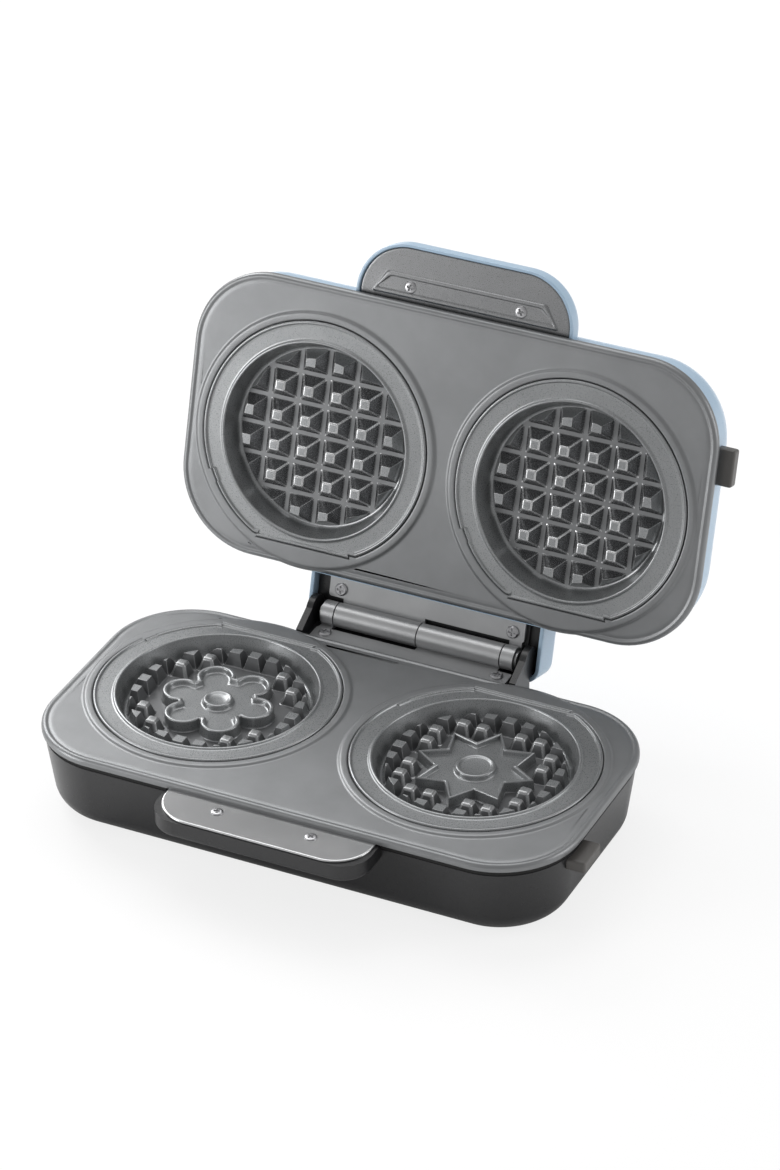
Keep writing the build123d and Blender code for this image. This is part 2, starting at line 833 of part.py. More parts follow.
def catch(x):
    """A spring-steel hook riveted to the release bar that holds a plate by its lug."""
    top = -lug_top + hook_gap + catch_sheet
    foot_low = -bar_top
    leg = x - catch_x
    hook_end = x - lug_reach + catch_grip
    y0 = -catch_y - catch_width / 2
    y1 = -catch_y + catch_width / 2
    body = block(leg - catch_sheet, leg, y0, y1, foot_low, top)
    body += block(leg - catch_sheet, hook_end, y0, y1, top - catch_sheet, top)
    body += block(leg - catch_foot, leg, -bar_y + bar_width / 2, y1, foot_low, foot_low + catch_sheet)
    return body


def release_spring():
    """A bowed leaf spring between the bar's end and its stop in the housing."""
    stop = -bar_end - spring_length + spring_sheet / 2
    near = -bar_end - spring_sheet / 2
    y = -bar_y + bar_width / 2 + wall
    bow = ThreePointArc((stop, y), (near, y + spring_bow / 2), (stop, y + spring_bow))
    return slab(trace(bow, line_width=spring_sheet), -bar_top - bar_sheet, -bar_top)


def heater_low():
    """The height of the element's underside."""
    return -cavity_depth - plate_wall - heater_gap - heater_tube


def heater():
    """One tubular element that runs under both plates, pressed flat on top."""
    low = heater_low()
    top = low + heater_tube
    half_tube = heater_tube / 2
    x = plate_pitch / 2
    outer = SlotCenterToCenter(2 * x, 2 * (heater_half + half_tube))
    inner = SlotCenterToCenter(2 * x, 2 * (heater_half - half_tube))
    body = slab(outer - inner, low, top)
    body -= block(-heater_lead / 2, heater_lead / 2, 0, heater_half + heater_tube, low, top)
    edges = body.faces().sort_by(Axis.Z)[0].edges()
    long_edges = edges.filter_by(lambda e: e.length > 2 * heater_tube)
    body = chamfer(long_edges, (heater_tube - heater_flat) / 2)
    half_pin = lead_pin / 2
    for side in (-1, 1):
        x = side * heater_lead / 2
        body += block(
            x - half_pin, x + half_pin, heater_half - half_pin, heater_half + half_pin,
            low - heater_lead / 2, low + lead_pin,
        )
    return body


def reflector():
    """A shallow tray under the element that throws its heat back at the plates."""
    outline = Rectangle(reflector_length, reflector_width)
    outline = fillet(outline.vertices(), reflector_corner)
    inside = Rectangle(reflector_length - 2 * reflector_sheet, reflector_width - 2 * reflector_sheet)
    inside = fillet(inside.vertices(), reflector_corner - reflector_sheet)
    low = -reflector_floor - reflector_edge
    body = slab(outline, low, -reflector_floor) - slab(inside, low + reflector_sheet, -reflector_floor)
    body -= block(
        -heater_lead, heater_lead, heater_half - heater_tube, heater_half + heater_tube,
        low, -reflector_floor,
    )
    for x, y in post_spots():
        body -= Pos(x, y) * slab(Circle(case_screw_radius + screw_clearance), low, -reflector_floor)
    for x in centres:
        for y in (-heater_half, heater_half):
            body += Pos(x, y) * slab(Circle(heater_tube / 2), low, heater_low())
    body -= Pos(thermostat_x, 0) * slab(Circle(thermostat_radius + thermostat_gap), low, -reflector_floor)
    return body


def thermostat():
    """A disc thermostat in the reflector's hole, between the plates."""
    top = -reflector_floor + reflector_edge
    body = slab(Circle(thermostat_radius), top - thermostat_height, top)
    tabs = Rectangle(thermostat_tabs, thermostat_tab_width)
    body += slab(tabs, top - thermostat_height - thermostat_tab_drop, top - thermostat_height)
    return Pos(thermostat_x, 0) * body


def thermal_fuse():
    """A thermal fuse lying on the reflector's floor."""
    z = -reflector_floor - reflector_edge + reflector_sheet + fuse_radius
    return Pos(-thermostat_x, fuse_y, z) * Rot(0, 90, 0) * Cylinder(fuse_radius, fuse_length)


def terminal_block():
    """The block where the mains leads meet the wiring, on the base's floor."""
    low = -base_depth + wall
    top = low + terminal_height
    half = terminal_length / 2
    body = block(terminal_x - half, terminal_x + half, terminal_y - terminal_width, terminal_y, low, top)
    for index in (-1, 0, 1):
        spot = Pos(terminal_x + index * terminal_length / 3, terminal_y - terminal_width / 2)
        body -= spot * slab(Circle(terminal_bore), top - terminal_bore_depth, top)
    return body


def wire(points, bend):
    """A lead of square section, bent round its corners."""
    path = FilletPolyline(*points, radius=bend)
    start = path ^ 0
    return sweep(start * Rectangle(2 * wire_radius, 2 * wire_radius), path=path)


def element_leads(start_x, start_y):
    """Two leads under the reflector, each up to one end of the element."""
    ends = heater_low() - heater_lead / 2
    leads = []
    for index, side in enumerate((-1, 1)):
        x = side * heater_lead / 2
        height = -wire_drop + (1 - index) * wire_step
        if start_y is None:
            points = [(start_x, heater_half, height), (x, heater_half, height), (x, heater_half, ends)]
        else:
            points = [(x, start_y, height), (x, heater_half, height), (x, heater_half, ends)]
        leads.append(wire(points, wire_bend))
    return Compound(children=leads)


def cord_bush():
    """The flanged bush in the back wall that a cord would go through."""
    body = Cylinder(bush_outer - screw_clearance, bush_length)
    flange = Cylinder(bush_flange, bush_flange_sheet)
    for side in (-1, 1):
        body += Pos(0, 0, side * (bush_length - bush_flange_sheet) / 2) * flange
    body -= Cylinder(bush_bore, bush_length)
    slope = math.tan(math.radians(base_lean))
    middle = deck_back - base_inset - wall / 2 - slope * (-bush_z - rim_drop)
    return Pos(bush_x, middle, bush_z) * Rot(90, 0, 0) * body


def foot(x, y):
    """A tapered rubber foot in its recess."""
    height = foot_height + foot_recess
    body = extrude(Circle(foot_radius - screw_clearance), amount=height, dir=(0, 0, -1), taper=foot_taper)
    return Pos(x, y, -base_depth + foot_recess) * body


def case_screws():
    """The long screws that hold the deck's posts from below."""
    screws = []
    for x, y in post_spots():
        head = slab(Circle(case_screw_head), screw_seat() - screw_head, screw_seat())
        shank = slab(Circle(case_screw_radius), screw_seat(), post_low() + case_screw_grip)
        screws.append(Pos(x, y) * (head + shank))
    return Compound(children=screws)


def posted_deck(spots):
    """A deck with its posts, each bored for a case screw."""
    posts = []
    for x, y in spots:
        post = slab(Circle(post_radius), post_low(), -deck_sheet)
        bore_top = post_low() + case_screw_grip + case_screw_spare
        post -= slab(Circle(case_screw_radius + screw_clearance), post_low(), bore_top)
        posts.append(Pos(x, y) * post)
    return deck() + posts


def lens(side):
    """A light's lens, pushed through the lid from outside."""
    top = -lid_depth
    body = slab(Circle(lens_radius), top, top + lens_length)
    cap = slab(Circle(lens_flange), top - lens_rise, top)
    cap = chamfer(cap.faces().sort_by(Axis.Z)[0].edges(), lens_rise / 2)
    return Pos(side * lens_x, -lens_y) * (body + cap)


def light_board():
    """The small board that carries the two lights, under their lenses."""
    top = -lid_depth + lens_length
    body = block(-board_length / 2, board_length / 2, -lens_y - board_width / 2, -lens_y + board_width / 2,
                 top, top + board_sheet)
    return body


half_gap = knuckle_gap / 2
own_base = [(-knuckle_end, -knuckle_split - half_gap), (half_gap, knuckle_split - half_gap)]
own_lid = [(-knuckle_split + half_gap, -half_gap), (knuckle_split + half_gap, knuckle_end)]
motifs = (flower(), star())

base_parts = {
    "base_housing": base_housing(),
    "base_deck": posted_deck(post_spots()),
    "base_heater": heater(),
    "base_reflector": reflector(),
    "base_thermostat": thermostat(),
    "thermal_fuse": thermal_fuse(),
    "base_terminal_block": terminal_block(),
    "base_wiring": element_leads(terminal_x + terminal_length / 2, None),
    "base_release_button": release_button(),
    "base_release_bar": release_bar(),
    "base_release_spring": release_spring(),
    "base_handle_cover": base_handle_cover(),
    "base_handle_screws": screw_pair(base_handle_screw, -1, -base_cover_drop),
    "base_hinge_leaf": hinge_leaf(own_base, own_lid),
    "base_hinge_screws": screw_pair(leaf_screw, 1, -barrel_low() + leaf_sheet),
    "hinge_pin": hinge_pin(),
    "base_case_screws": case_screws(),
    "cord_bush": cord_bush(),
}
for name, (x, y) in foot_spots().items():
    base_parts["foot_" + name] = foot(x, y)

lid_parts = {
    "lid_housing": lid_housing(),
    "lid_deck": posted_deck(post_spots()),
    "lid_tail_liner": lid_tail_liner(),
    "lid_heater": heater(),
    "lid_reflector": reflector(),
    "lid_thermostat": thermostat(),
    "lid_release_button": release_button(),
    "lid_release_bar": release_bar(),
    "lid_release_spring": release_spring(),
    "lid_handle_cover": lid_handle_cover(),
    "lid_handle_screws": screw_pair(lid_handle_screw, -1, -lid_cover_drop + bead_rise),
    "lid_hinge_leaf": hinge_leaf(own_lid, own_base),
    "lid_hinge_screws": screw_pair(leaf_screw, 1, -barrel_low() + leaf_sheet),
    "power_lens": lens(-1),
    "ready_lens": lens(1),
    "light_board": light_board(),
    "lid_wiring": element_leads(None, heater_half + wire_tail),
}

pyramids = plate_grid(pyramid_pitch, pyramid_count, pyramid_base, pyramid_top, pyramid_height, None)
for side, x, shapes in zip(sides, centres, motifs):
    nubs = plate_grid(nub_pitch, nub_count, nub_base, nub_top, nub_height, shapes[0])
    base_parts["base_plate_" + side] = Pos(x, 0, 0) * waffle_plate(nubs, shapes)
    lid_parts["lid_plate_" + side] = Pos(x, 0, 0) * waffle_plate(pyramids, None)
    base_parts["base_catch_" + side] = catch(x)
    lid_parts["lid_catch_" + side] = catch(x)


def open_lid(piece):
    """A lid piece, mirrored onto the closed base and then swung open about the pin."""
    closed = Pos(0, 0, closed_gap) * mirror(piece, about=Plane.XY)
    return Pos(0, axis_y, axis_z) * Rot(-open_angle, 0, 0) * Pos(0, -axis_y, -axis_z) * closed


pieces = dict(base_parts)
for name, piece in lid_parts.items():
    pieces[name] = open_lid(piece)

box = Compound(children=[Compound(children=piece.solids()) for piece in pieces.values()]).bounding_box()
shift = (-(box.min.X + box.max.X) / 2, -(box.min.Y + box.max.Y) / 2, -box.min.Z)
os.makedirs("parts", exist_ok=True)
for name, piece in pieces.items():
    solids = piece.solids()
    placed = solids[0] if len(solids) == 1 else Compound(children=list(solids))
    export_step(Pos(*shift) * placed, f"parts/{name}.step")
print("pieces", len(pieces))
print("shift", [round(value, 4) for value in shift])
print("hinge axis", round(axis_y + shift[1], 4), round(axis_z + shift[2], 4))
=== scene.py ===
import json
import math

import bmesh
import bpy
from mathutils import Matrix, Vector


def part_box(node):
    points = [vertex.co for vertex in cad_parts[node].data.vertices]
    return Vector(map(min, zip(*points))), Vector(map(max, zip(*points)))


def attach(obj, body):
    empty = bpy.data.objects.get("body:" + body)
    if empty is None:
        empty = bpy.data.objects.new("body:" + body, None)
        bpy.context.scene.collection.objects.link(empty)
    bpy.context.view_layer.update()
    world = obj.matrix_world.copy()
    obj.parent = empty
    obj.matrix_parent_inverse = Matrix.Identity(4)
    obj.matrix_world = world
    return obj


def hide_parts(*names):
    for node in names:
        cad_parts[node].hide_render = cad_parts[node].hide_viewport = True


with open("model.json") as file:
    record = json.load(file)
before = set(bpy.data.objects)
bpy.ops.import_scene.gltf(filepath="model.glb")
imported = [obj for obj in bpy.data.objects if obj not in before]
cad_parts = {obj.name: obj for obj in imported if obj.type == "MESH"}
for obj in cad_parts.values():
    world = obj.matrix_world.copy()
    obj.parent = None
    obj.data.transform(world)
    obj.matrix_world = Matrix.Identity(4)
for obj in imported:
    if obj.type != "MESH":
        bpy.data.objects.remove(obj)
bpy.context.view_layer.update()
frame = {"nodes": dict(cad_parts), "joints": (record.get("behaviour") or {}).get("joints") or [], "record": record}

# The open waffle maker, dressed for its photograph. Sizes are in millimetres unless a name says
# metres. Each half is built deck up in a plan of its own: z = 0 on the crown of the deck's edge,
# y = 0 through the plates' centres. A profile is a list of (inset, z) or (radius, z) pairs.
MM = 0.001
RING_RISE = 0.8
DECK_LOW, DECK_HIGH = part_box("base_deck")
PLATE_LOW, PLATE_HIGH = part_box("base_plate_right")
HINGE = next(joint for joint in frame["joints"] if joint["name"] == "lid_hinge")
OPEN_ANGLE = math.radians(-HINGE["range_deg"][0])

DECK_LENGTH = (DECK_HIGH.x - DECK_LOW.x) / MM
PLATE_RADIUS = (PLATE_HIGH.x - PLATE_LOW.x) / MM / 2
PLATE_CHORD = (PLATE_HIGH.y - PLATE_LOW.y) / MM - PLATE_RADIUS
ORIGIN = Vector((
    (DECK_LOW.x + DECK_HIGH.x) / 2,
    PLATE_LOW.y + PLATE_RADIUS * MM,
    DECK_HIGH.z - RING_RISE * MM,
))
PLATE_X = ((PLATE_LOW.x + PLATE_HIGH.x) / 2 - ORIGIN.x) / MM
SIDES = {"left": -PLATE_X, "right": PLATE_X}
AXIS_Y = (HINGE["pos_m"][1] - ORIGIN.y) / MM
AXIS_Z = (HINGE["pos_m"][2] - ORIGIN.z) / MM
DECK_FRONT = (DECK_LOW.y - ORIGIN.y) / MM
DECK_BACK = (DECK_HIGH.y - ORIGIN.y) / MM

# Deck: its outline, its edge from below to the flat, the ring's slope, its lip and the plate's seat
CORNER_FRONT = 41.5
CORNER_BACK = 42.7
DECK_CORNER_STEPS = 20
DECK_SHEET = 1.6
EDGE_DROP = 3.8
SEAT_DEPTH = 2.7
SEAT_LEDGE = 3.3
SEAT_GAP = 0.3
SEAT_WALL = 2.0
DECK_EDGE = (
    (2.2, -EDGE_DROP), (0.5, -EDGE_DROP), (0.12, -EDGE_DROP + 0.2), (0.0, -EDGE_DROP + 0.6),
    (0.0, -2.1), (0.1, -1.45), (0.4, -0.85), (0.85, -0.38), (1.4, -0.1), (1.95, 0.0),
    (2.4, -0.06), (2.8, -0.24), (3.15, -0.42), (3.55, -0.5), (4.0, -0.44), (4.6, -0.32),
    (5.4, -0.26), (6.4, -0.25),
)
RING_SLOPE = (
    (67.6, -0.25), (66.9, -0.2), (66.4, 0.0), (66.0, 0.38), (65.6, 0.68), (65.1, 0.8), (64.4, 0.83),
)
RING_LIP = (
    (-1.3, 0.83), (-0.85, 0.76), (-0.5, 0.52), (-0.34, 0.15), (-0.3, -0.4), (-0.3, -SEAT_DEPTH),
)
SEAT = (
    (SEAT_LEDGE, -SEAT_DEPTH), (SEAT_LEDGE, -SEAT_DEPTH - DECK_SHEET),
    (-SEAT_GAP - SEAT_WALL, -SEAT_DEPTH - DECK_SHEET), (-SEAT_GAP - SEAT_WALL, -DECK_SHEET),
)

# Plate outline: a circle cut straight at the back, with a notch at each end of the cut, and a key
NOTCH = 1.6
NOTCH_X = math.sqrt(PLATE_RADIUS ** 2 - PLATE_CHORD ** 2)
NOTCH_ANGLE = math.acos((NOTCH_X + 2 * NOTCH) / PLATE_RADIUS)
CHORD_ANGLE = math.acos(NOTCH_X / PLATE_RADIUS)
KEY_ANGLE = math.radians(151)
KEY_WIDTH = 7.5
KEY_HALF_ANGLE = KEY_WIDTH / 2 / PLATE_RADIUS
KEY_DEPTH = 1.5
RELIEF = 1.0
PLAN_STEP = math.radians(2.5)
PLAN_NUDGE = 0.002

# Plate: the bowl from below, the rim and the ring inside it, and the cavity's wall and floor
LIP_RISE = 1.4
PLATE_RING = 0.5
FLOOR_RADIUS = 47.0
CAVITY_DEPTH = 9.5
CAVITY_FLOOR = -CAVITY_DEPTH
LEVEL_ERROR = 0.02
BOWL_RADIUS = 51.8
PLATE_WALL = 2.6
BOWL_LOW = CAVITY_FLOOR - PLATE_WALL
BOWL = (
    (6.0, BOWL_LOW), (40.0, BOWL_LOW), (49.4, BOWL_LOW), (51.0, BOWL_LOW + 0.7),
    (BOWL_RADIUS, BOWL_LOW + 2.4), (BOWL_RADIUS, -SEAT_DEPTH - 0.8),
    (BOWL_RADIUS + 0.8, -SEAT_DEPTH),
)
PLATE_RIM = (
    (0.5, -SEAT_DEPTH), (0.0, -SEAT_DEPTH + 0.4), (0.0, 0.55), (0.1, 0.95), (0.32, 1.24),
    (0.62, 1.38), (0.95, LIP_RISE), (1.25, 1.34), (1.5, 1.14), (1.64, 0.86), (1.78, 0.62),
    (2.1, PLATE_RING), (3.0, PLATE_RING),
)
CAVITY_WALL = (
    (BOWL_RADIUS + 1.0, PLATE_RING), (BOWL_RADIUS + 0.3, 0.55), (BOWL_RADIUS, 0.78), (51.65, 1.1),
    (51.3, 1.32), (50.9, LIP_RISE), (50.55, 1.34), (50.25, 1.12), (50.08, 0.7), (50.0, 0.1),
    (47.55, -7.7), (47.15, -8.6), (46.5, -9.2), (45.6, CAVITY_FLOOR), (38.0, CAVITY_FLOOR),
    (20.0, CAVITY_FLOOR), (6.0, CAVITY_FLOOR),
)
LUG_LOW = (-31.0, -48.7, -8.0)
LUG_HIGH = (-24.0, -44.3, -6.0)
LUG_ROUND = 0.3
LUG_STEPS = 2

# Pyramids in the lid's plates and nubs in the base's: the flare of a foot starts below the floor
PYRAMID = {
    "pitch": 15.7, "count": 6, "base": 12.6, "top": 5.0, "height": 7.0, "edge": 0.7, "steps": 3,
}
NUB = {
    "pitch": 10.25, "count": 9, "base": 9.3, "top": 5.4, "height": 7.0, "edge": 1.3, "steps": 3,
}
FOOT_SUNK = 0.2
FLARE = ((1.0, -FOOT_SUNK), (0.4, 0.06))
FLARE_TOP = 0.5
CREST_TURN = math.radians(15)
GRID_MARGIN = 1.5
CUT_TURNS = (-15, -9, -3, 3, 9, 15)
# Material indexes of a grid's flanks and bevelled edges and of the cavity's floor: the flanks and floor take
# painted shade, the edges a painted highlight
FLANK_SHADE_INDEX = 1
EDGE_HIGHLIGHT_INDEX = 2
FLOOR_SHADE_INDEX = 3

# Motifs: a flower on the left and a star on the right, each with an eye
MOTIF_CREST = CAVITY_FLOOR + 6.0
MOTIF_FIELD = CAVITY_FLOOR + 3.2
MOTIF_LINE = 2.4
MOTIF_MARGIN = 0.5
MOTIF_STEPS = 192
CLEAR_STEPS = 8
PETALS = 6
PETAL_RADIUS = 9.8
PETAL_REACH = 20.0
FLOWER_EYE = 7.5
STAR_POINTS = 8
STAR_OUTER = 31.0
STAR_INNER = 20.5
STAR_EYE = 10.0
MOTIF_RIDGE = (
    (-0.9, CAVITY_FLOOR - 0.2), (-0.45, CAVITY_FLOOR + 0.15), (-0.15, CAVITY_FLOOR + 0.8),
    (0.1, MOTIF_CREST - 0.8), (0.3, MOTIF_CREST - 0.3), (0.75, MOTIF_CREST),
    (MOTIF_LINE - 0.75, MOTIF_CREST), (MOTIF_LINE - 0.3, MOTIF_CREST - 0.3),
    (MOTIF_LINE, MOTIF_CREST - 0.8), (MOTIF_LINE + 0.2, MOTIF_FIELD + 0.5),
    (MOTIF_LINE + 0.6, MOTIF_FIELD + 0.1), (MOTIF_LINE + 1.3, MOTIF_FIELD),
)
EYE_RIDGE = (
    (1.2, MOTIF_FIELD), (0.5, MOTIF_FIELD + 0.1), (0.1, MOTIF_FIELD + 0.5),
    (-0.1, MOTIF_CREST - 0.7), (-0.4, MOTIF_CREST - 0.2), (-0.9, MOTIF_CREST),
    (-1.9, MOTIF_CREST - 0.1), (-2.5, MOTIF_CREST - 0.5), (-3.1, MOTIF_CREST - 0.75),
)
EYE_PIT = (1.2, MOTIF_CREST - 0.8)

# Shells: inset, lean and depth of a half's wall, the oval round below it, where its top edge lies,
# how proud of the solid it stands, and its floor beyond the round
BASE_SHELL = {
    "inset": 1.6, "lean": 7.8, "depth": 44.8, "across": 12.5, "down": 12.5, "top": 6.7,
    "proud": 0.45, "below": ((2.0, -0.27), (6.0, 0.25)), "closed": False,
}
LID_SHELL = {
    "inset": 2.2, "lean": 1.5, "depth": 42.0, "across": 33.0, "down": 26.0, "top": 4.05,
    "proud": 0.0, "below": ((4.0, 0.0),), "closed": True,
}
SHELL_CORNER_STEPS = 28
SHELL_LIP = ((1.4, 0.0), (0.35, 0.0), (0.1, -0.1), (0.0, -0.35))
ROUND_STEPS = 20
QUARTER_STEPS = 8
RIM_TOP = 4.0
# A near-black band just proud of the base's wall, from the rim's top down to the shell's top edge: painted shade
PAINTED_SHADE_PROFILE = (
    (1.2, -RIM_TOP + 0.03), (-0.04, -RIM_TOP + 0.03), (-0.04, -RIM_TOP - 0.4),
    (-0.04, -BASE_SHELL["top"] - 0.3),
)

# Handles and their covers: tuck is how far they reach under the deck's edge
LID_HANDLE = {"half": 58.8, "reach": 28.8, "corner": 27.5, "tuck": 8.0}
LID_COVER = {"half": 56.7, "reach": 26.7, "corner": 25.4, "top": 5.6, "tuck": 1.2}
BASE_COVER = {"half": 55.3, "reach": 22.4, "corner": 19.5, "top": 3.0, "tuck": 0.0}
HANDLE_CORNER_STEPS = 24
HANDLE_BACK_STEPS = 12
HANDLE_TOP = 4.4
HANDLE_LOW = 17.6
HANDLE_EDGE = 7.5
POCKET_INSET = 1.8
POCKET_FLOOR = 6.85
HANDLE_RIM = (
    (POCKET_INSET + 1.2, -POCKET_FLOOR), (POCKET_INSET, -POCKET_FLOOR), (POCKET_INSET, -5.0),
    (POCKET_INSET - 0.12, -4.62), (POCKET_INSET - 0.4, -HANDLE_TOP), (0.75, -HANDLE_TOP),
    (0.32, -4.5), (0.08, -4.78), (0.0, -5.2),
)
COVER_SHEET = 1.2
COVER_EDGE = (
    (1.6, -COVER_SHEET), (0.15, -COVER_SHEET), (0.0, -COVER_SHEET + 0.15), (0.0, -0.55),
    (0.1, -0.26), (0.3, -0.08), (0.65, 0.0), (1.2, 0.0),
)
BEAD = {"back": 1.9, "front": 13.2, "half_back": 50.5, "half_front": 43.0, "corner": 1.6}
BEAD_STEPS = 4
BEAD_RISE = 0.7
PANEL_RISE = 0.15
BEAD_EDGE = (
    (-0.5, 0.0), (-0.15, 0.08), (0.25, BEAD_RISE - 0.1), (0.5, BEAD_RISE), (1.5, BEAD_RISE),
    (1.75, BEAD_RISE - 0.08), (2.15, 0.22), (2.5, PANEL_RISE), (3.2, PANEL_RISE),
)

# Screws, as (inset, z) down a head and (length, half width, z) down its cross recess. A spot is how
# far a screw lies from the middle and before the deck, and a turn its cross's angle in radians.
LID_SCREW = (30.0, 7.0)
BASE_SCREW = (25.0, 8.2)
SCREW_TURNS = {-1: 0.35, 1: 1.1}
SCREW_RADIUS = 3.1
SCREW_STEPS = 64
SCREW_HEAD = ((0.0, -0.3), (0.0, 0.2), (0.15, 0.4), (0.6, 0.62), (1.2, 0.74))
SCREW_CROSS = ((1.75, 0.5, 0.74), (1.6, 0.4, 0.3), (1.0, 0.3, -0.1))

# Tail of the lid's housing over the hinge, as (inset, y of its root, z) from the inside out
TAIL_HALF = 64.5
TAIL_ROOT = DECK_BACK - 14.0
TAIL_INSIDE = DECK_BACK + 0.5
TAIL_OUTSIDE = DECK_BACK + 0.15
TAIL_REACH = 12.1
TAIL_DEPTH = 25.0
TAIL_CORNER = 8.0
TAIL_LEAST_CORNER = 0.5
TAIL_CORNER_STEPS = 8
TAIL_EDGE = 9.0
TAIL_WALL = 2.2
TAIL_RIM = (
    (TAIL_WALL, TAIL_INSIDE, TAIL_WALL - TAIL_DEPTH), (TAIL_WALL, TAIL_INSIDE, -1.5),
    (TAIL_WALL - 0.3, TAIL_INSIDE, -1.1), (TAIL_WALL - 0.7, TAIL_INSIDE, -1.0),
    (0.7, TAIL_OUTSIDE, -1.0), (0.25, TAIL_OUTSIDE, -1.12), (0.0, TAIL_OUTSIDE, -1.6),
    (0.0, TAIL_OUTSIDE, -RIM_TOP - 0.15), (0.0, TAIL_ROOT, -RIM_TOP - 0.15),
)

# Release buttons
BUTTON = {
    "length": 19.0, "height": 6.4, "middle": 11.0, "reach": 6.6, "root": 4.0, "round": 1.3,
    "steps": 4,
}
BUTTON_Y = {"base": -38.4, "lid": -32.2}

# Angles in degrees below which a mesh is shaded smooth
SMOOTH_ANGLE = 40
SHELL_SMOOTH_ANGLE = 35
SCREW_SMOOTH_ANGLE = 30

# Textures: noise scales in bumps a metre, and the span that most noise values fall in
COATING_GRAIN = 2600
COATING_CLOUD = 45
MOULDING_GRAIN = 1500
MOULDING_CLOUD = 30
BRUSH_SCALE = (12, 1400, 1400)
LENS_FROST = 900
BOARD_WEAVE = 900
SLEEVE_WEAVE = 500
NOISE_LOW = 0.3
NOISE_HIGH = 0.7

# Lights, as place, target and size in metres, and power in watts
LIGHTS = {
    "key": ((-0.4, 0.5, 1.5), (0, 0, 0.05), (1.4, 1.0), 10),
    "side": ((-0.85, -0.75, 0.3), (-0.1, 0, 0.12), (0.5, 0.5), 5.5),
    "rim": ((-1.15, 0.65, 0.9), (-0.05, 0, 0.06), (0.9, 0.7), 13),
    "fill": ((1.3, 0.4, 0.5), (0.1, 0.1, 0.1), (0.8, 0.8), 6),
}
WORLD_LIGHT = 0.5
FLOOR_COLOUR = (0.93, 0.93, 0.93)
FLOOR_WHITE = 0.8
FLOOR_REACH_M = 6

# Camera, from the outlines of the two decks in the photograph, with its angles in degrees
CAMERA_AZIMUTH = 25.978
CAMERA_ELEVATION = 32.321
CAMERA_ROLL = -0.71
CAMERA_DISTANCE_M = 2.4183
CAMERA_TARGET_M = (0.01219, -0.01312, 0.12258)
CAMERA_LENS = 154.3
CAMERA_CLIP_M = 20


def base_point(x, y, z):
    """A point of the base's plan, in the frame."""
    return ORIGIN + Vector((x, y, z)) * MM


def lid_point(x, y, z):
    """A point of the lid's plan: mirrored over the base, then swung open about the pin."""
    y = y - AXIS_Y
    z = AXIS_Z - z
    turned_y = y * math.cos(OPEN_ANGLE) + z * math.sin(OPEN_ANGLE)
    turned_z = -y * math.sin(OPEN_ANGLE) + z * math.cos(OPEN_ANGLE)
    return ORIGIN + Vector((x, AXIS_Y + turned_y, AXIS_Z + turned_z)) * MM


PLACE = {"base": base_point, "lid": lid_point}


# Mesh helpers

def join_rows(bm, low, high):
    """A band of quads between two rings of as many points each."""
    count = len(low)
    faces = []
    for index in range(count):
        after = (index + 1) % count
        faces.append(bm.faces.new((low[index], low[after], high[after], high[index])))
    return faces


def add_rings(bm, rings, close_start=False, close_end=False):
    """Joins rings of as many points each into a skin, with a fan over either end."""
    rows = [[bm.verts.new(point) for point in ring] for ring in rings]
    for low, high in zip(rows, rows[1:]):
        join_rows(bm, low, high)
    for closed, row in ((close_start, rows[0]), (close_end, rows[-1])):
        if closed:
            middle = bm.verts.new(sum((vert.co for vert in row), Vector()) / len(row))
            for index in range(len(row)):
                bm.faces.new((row[index], row[(index + 1) % len(row)], middle))
    return rows


def fill_between(bm, loops):
    """Fills the flat inside the first loop and outside the others with triangles."""
    edges = []
    for loop in loops:
        for first, second in zip(loop, loop[1:] + loop[:1]):
            edges.append(bm.edges.get((first, second)) or bm.edges.new((first, second)))
    bmesh.ops.triangle_fill(
        bm, use_beauty=True, use_dissolve=False, edges=edges, normal=(0, 0, 1))


def add_block(bm, low, high, round_by, steps):
    """A block between two opposite corners, with softened edges."""
    plan = ((low[0], low[1]), (high[0], low[1]), (high[0], high[1]), (low[0], high[1]))
    rows = [[bm.verts.new((x, y, z)) for x, y in plan] for z in (low[2], high[2])]
    faces = [bm.faces.new(rows[0]), bm.faces.new(rows[1])] + join_rows(bm, *rows)
    edges = list(dict.fromkeys(edge for face in faces for edge in face.edges))
    bmesh.ops.bevel(
        bm, geom=edges, offset=round_by, segments=steps, affect="EDGES", profile=0.5)


def new_piece(name, bm, half, material, body, smooth_angle=SMOOTH_ANGLE):
    """Places a plan's mesh in its half, and makes it a piece that rides on a body."""
    place = PLACE[half]
    for vert in bm.verts:
        vert.co = place(*vert.co)
    bmesh.ops.recalc_face_normals(bm, faces=bm.faces)
    mesh = bpy.data.meshes.new(name)
    bm.to_mesh(mesh)
    bm.free()
    mesh.polygons.foreach_set("use_smooth", [True] * len(mesh.polygons))
    mesh.set_sharp_from_angle(angle=math.radians(smooth_angle))
    piece = bpy.data.objects.new(name, mesh)
    bpy.context.scene.collection.objects.link(piece)
    mesh.materials.append(material)
    weighted = piece.modifiers.new("Weighted normals", "WEIGHTED_NORMAL")
    weighted.keep_sharp = True
    weighted.weight = 100
    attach(piece, body)
    return piece


# Outlines

def polar_ring(reach_at, z, angles, x=0.0, y=0.0):
    """One loop whose points lie as far from its centre as reach_at gives for their angles."""
    points = []
    for angle in angles:
        reach = reach_at(angle)
        points.append(Vector((x + reach * math.cos(angle), y + reach * math.sin(angle), z)))
    return points


def circle(radius, z, angles, x=0.0, y=0.0):
    """One round loop."""
    return polar_ring(lambda angle: radius, z, angles, x, y)


def square(half_width, z, x, y):
    """One square loop of four points."""
    points = []
    for across, along in ((-1, -1), (1, -1), (1, 1), (-1, 1)):
        points.append(Vector((x + half_width * across, y + half_width * along, z)))
    return points


def quarter(radius, low):
    """Insets and heights down a quarter round that ends on a level."""
    points = []
    for step in range(QUARTER_STEPS + 1):
        angle = math.pi / 2 * step / QUARTER_STEPS
        points.append((radius * (1 - math.cos(angle)), low + radius * (1 - math.sin(angle))))
    return points


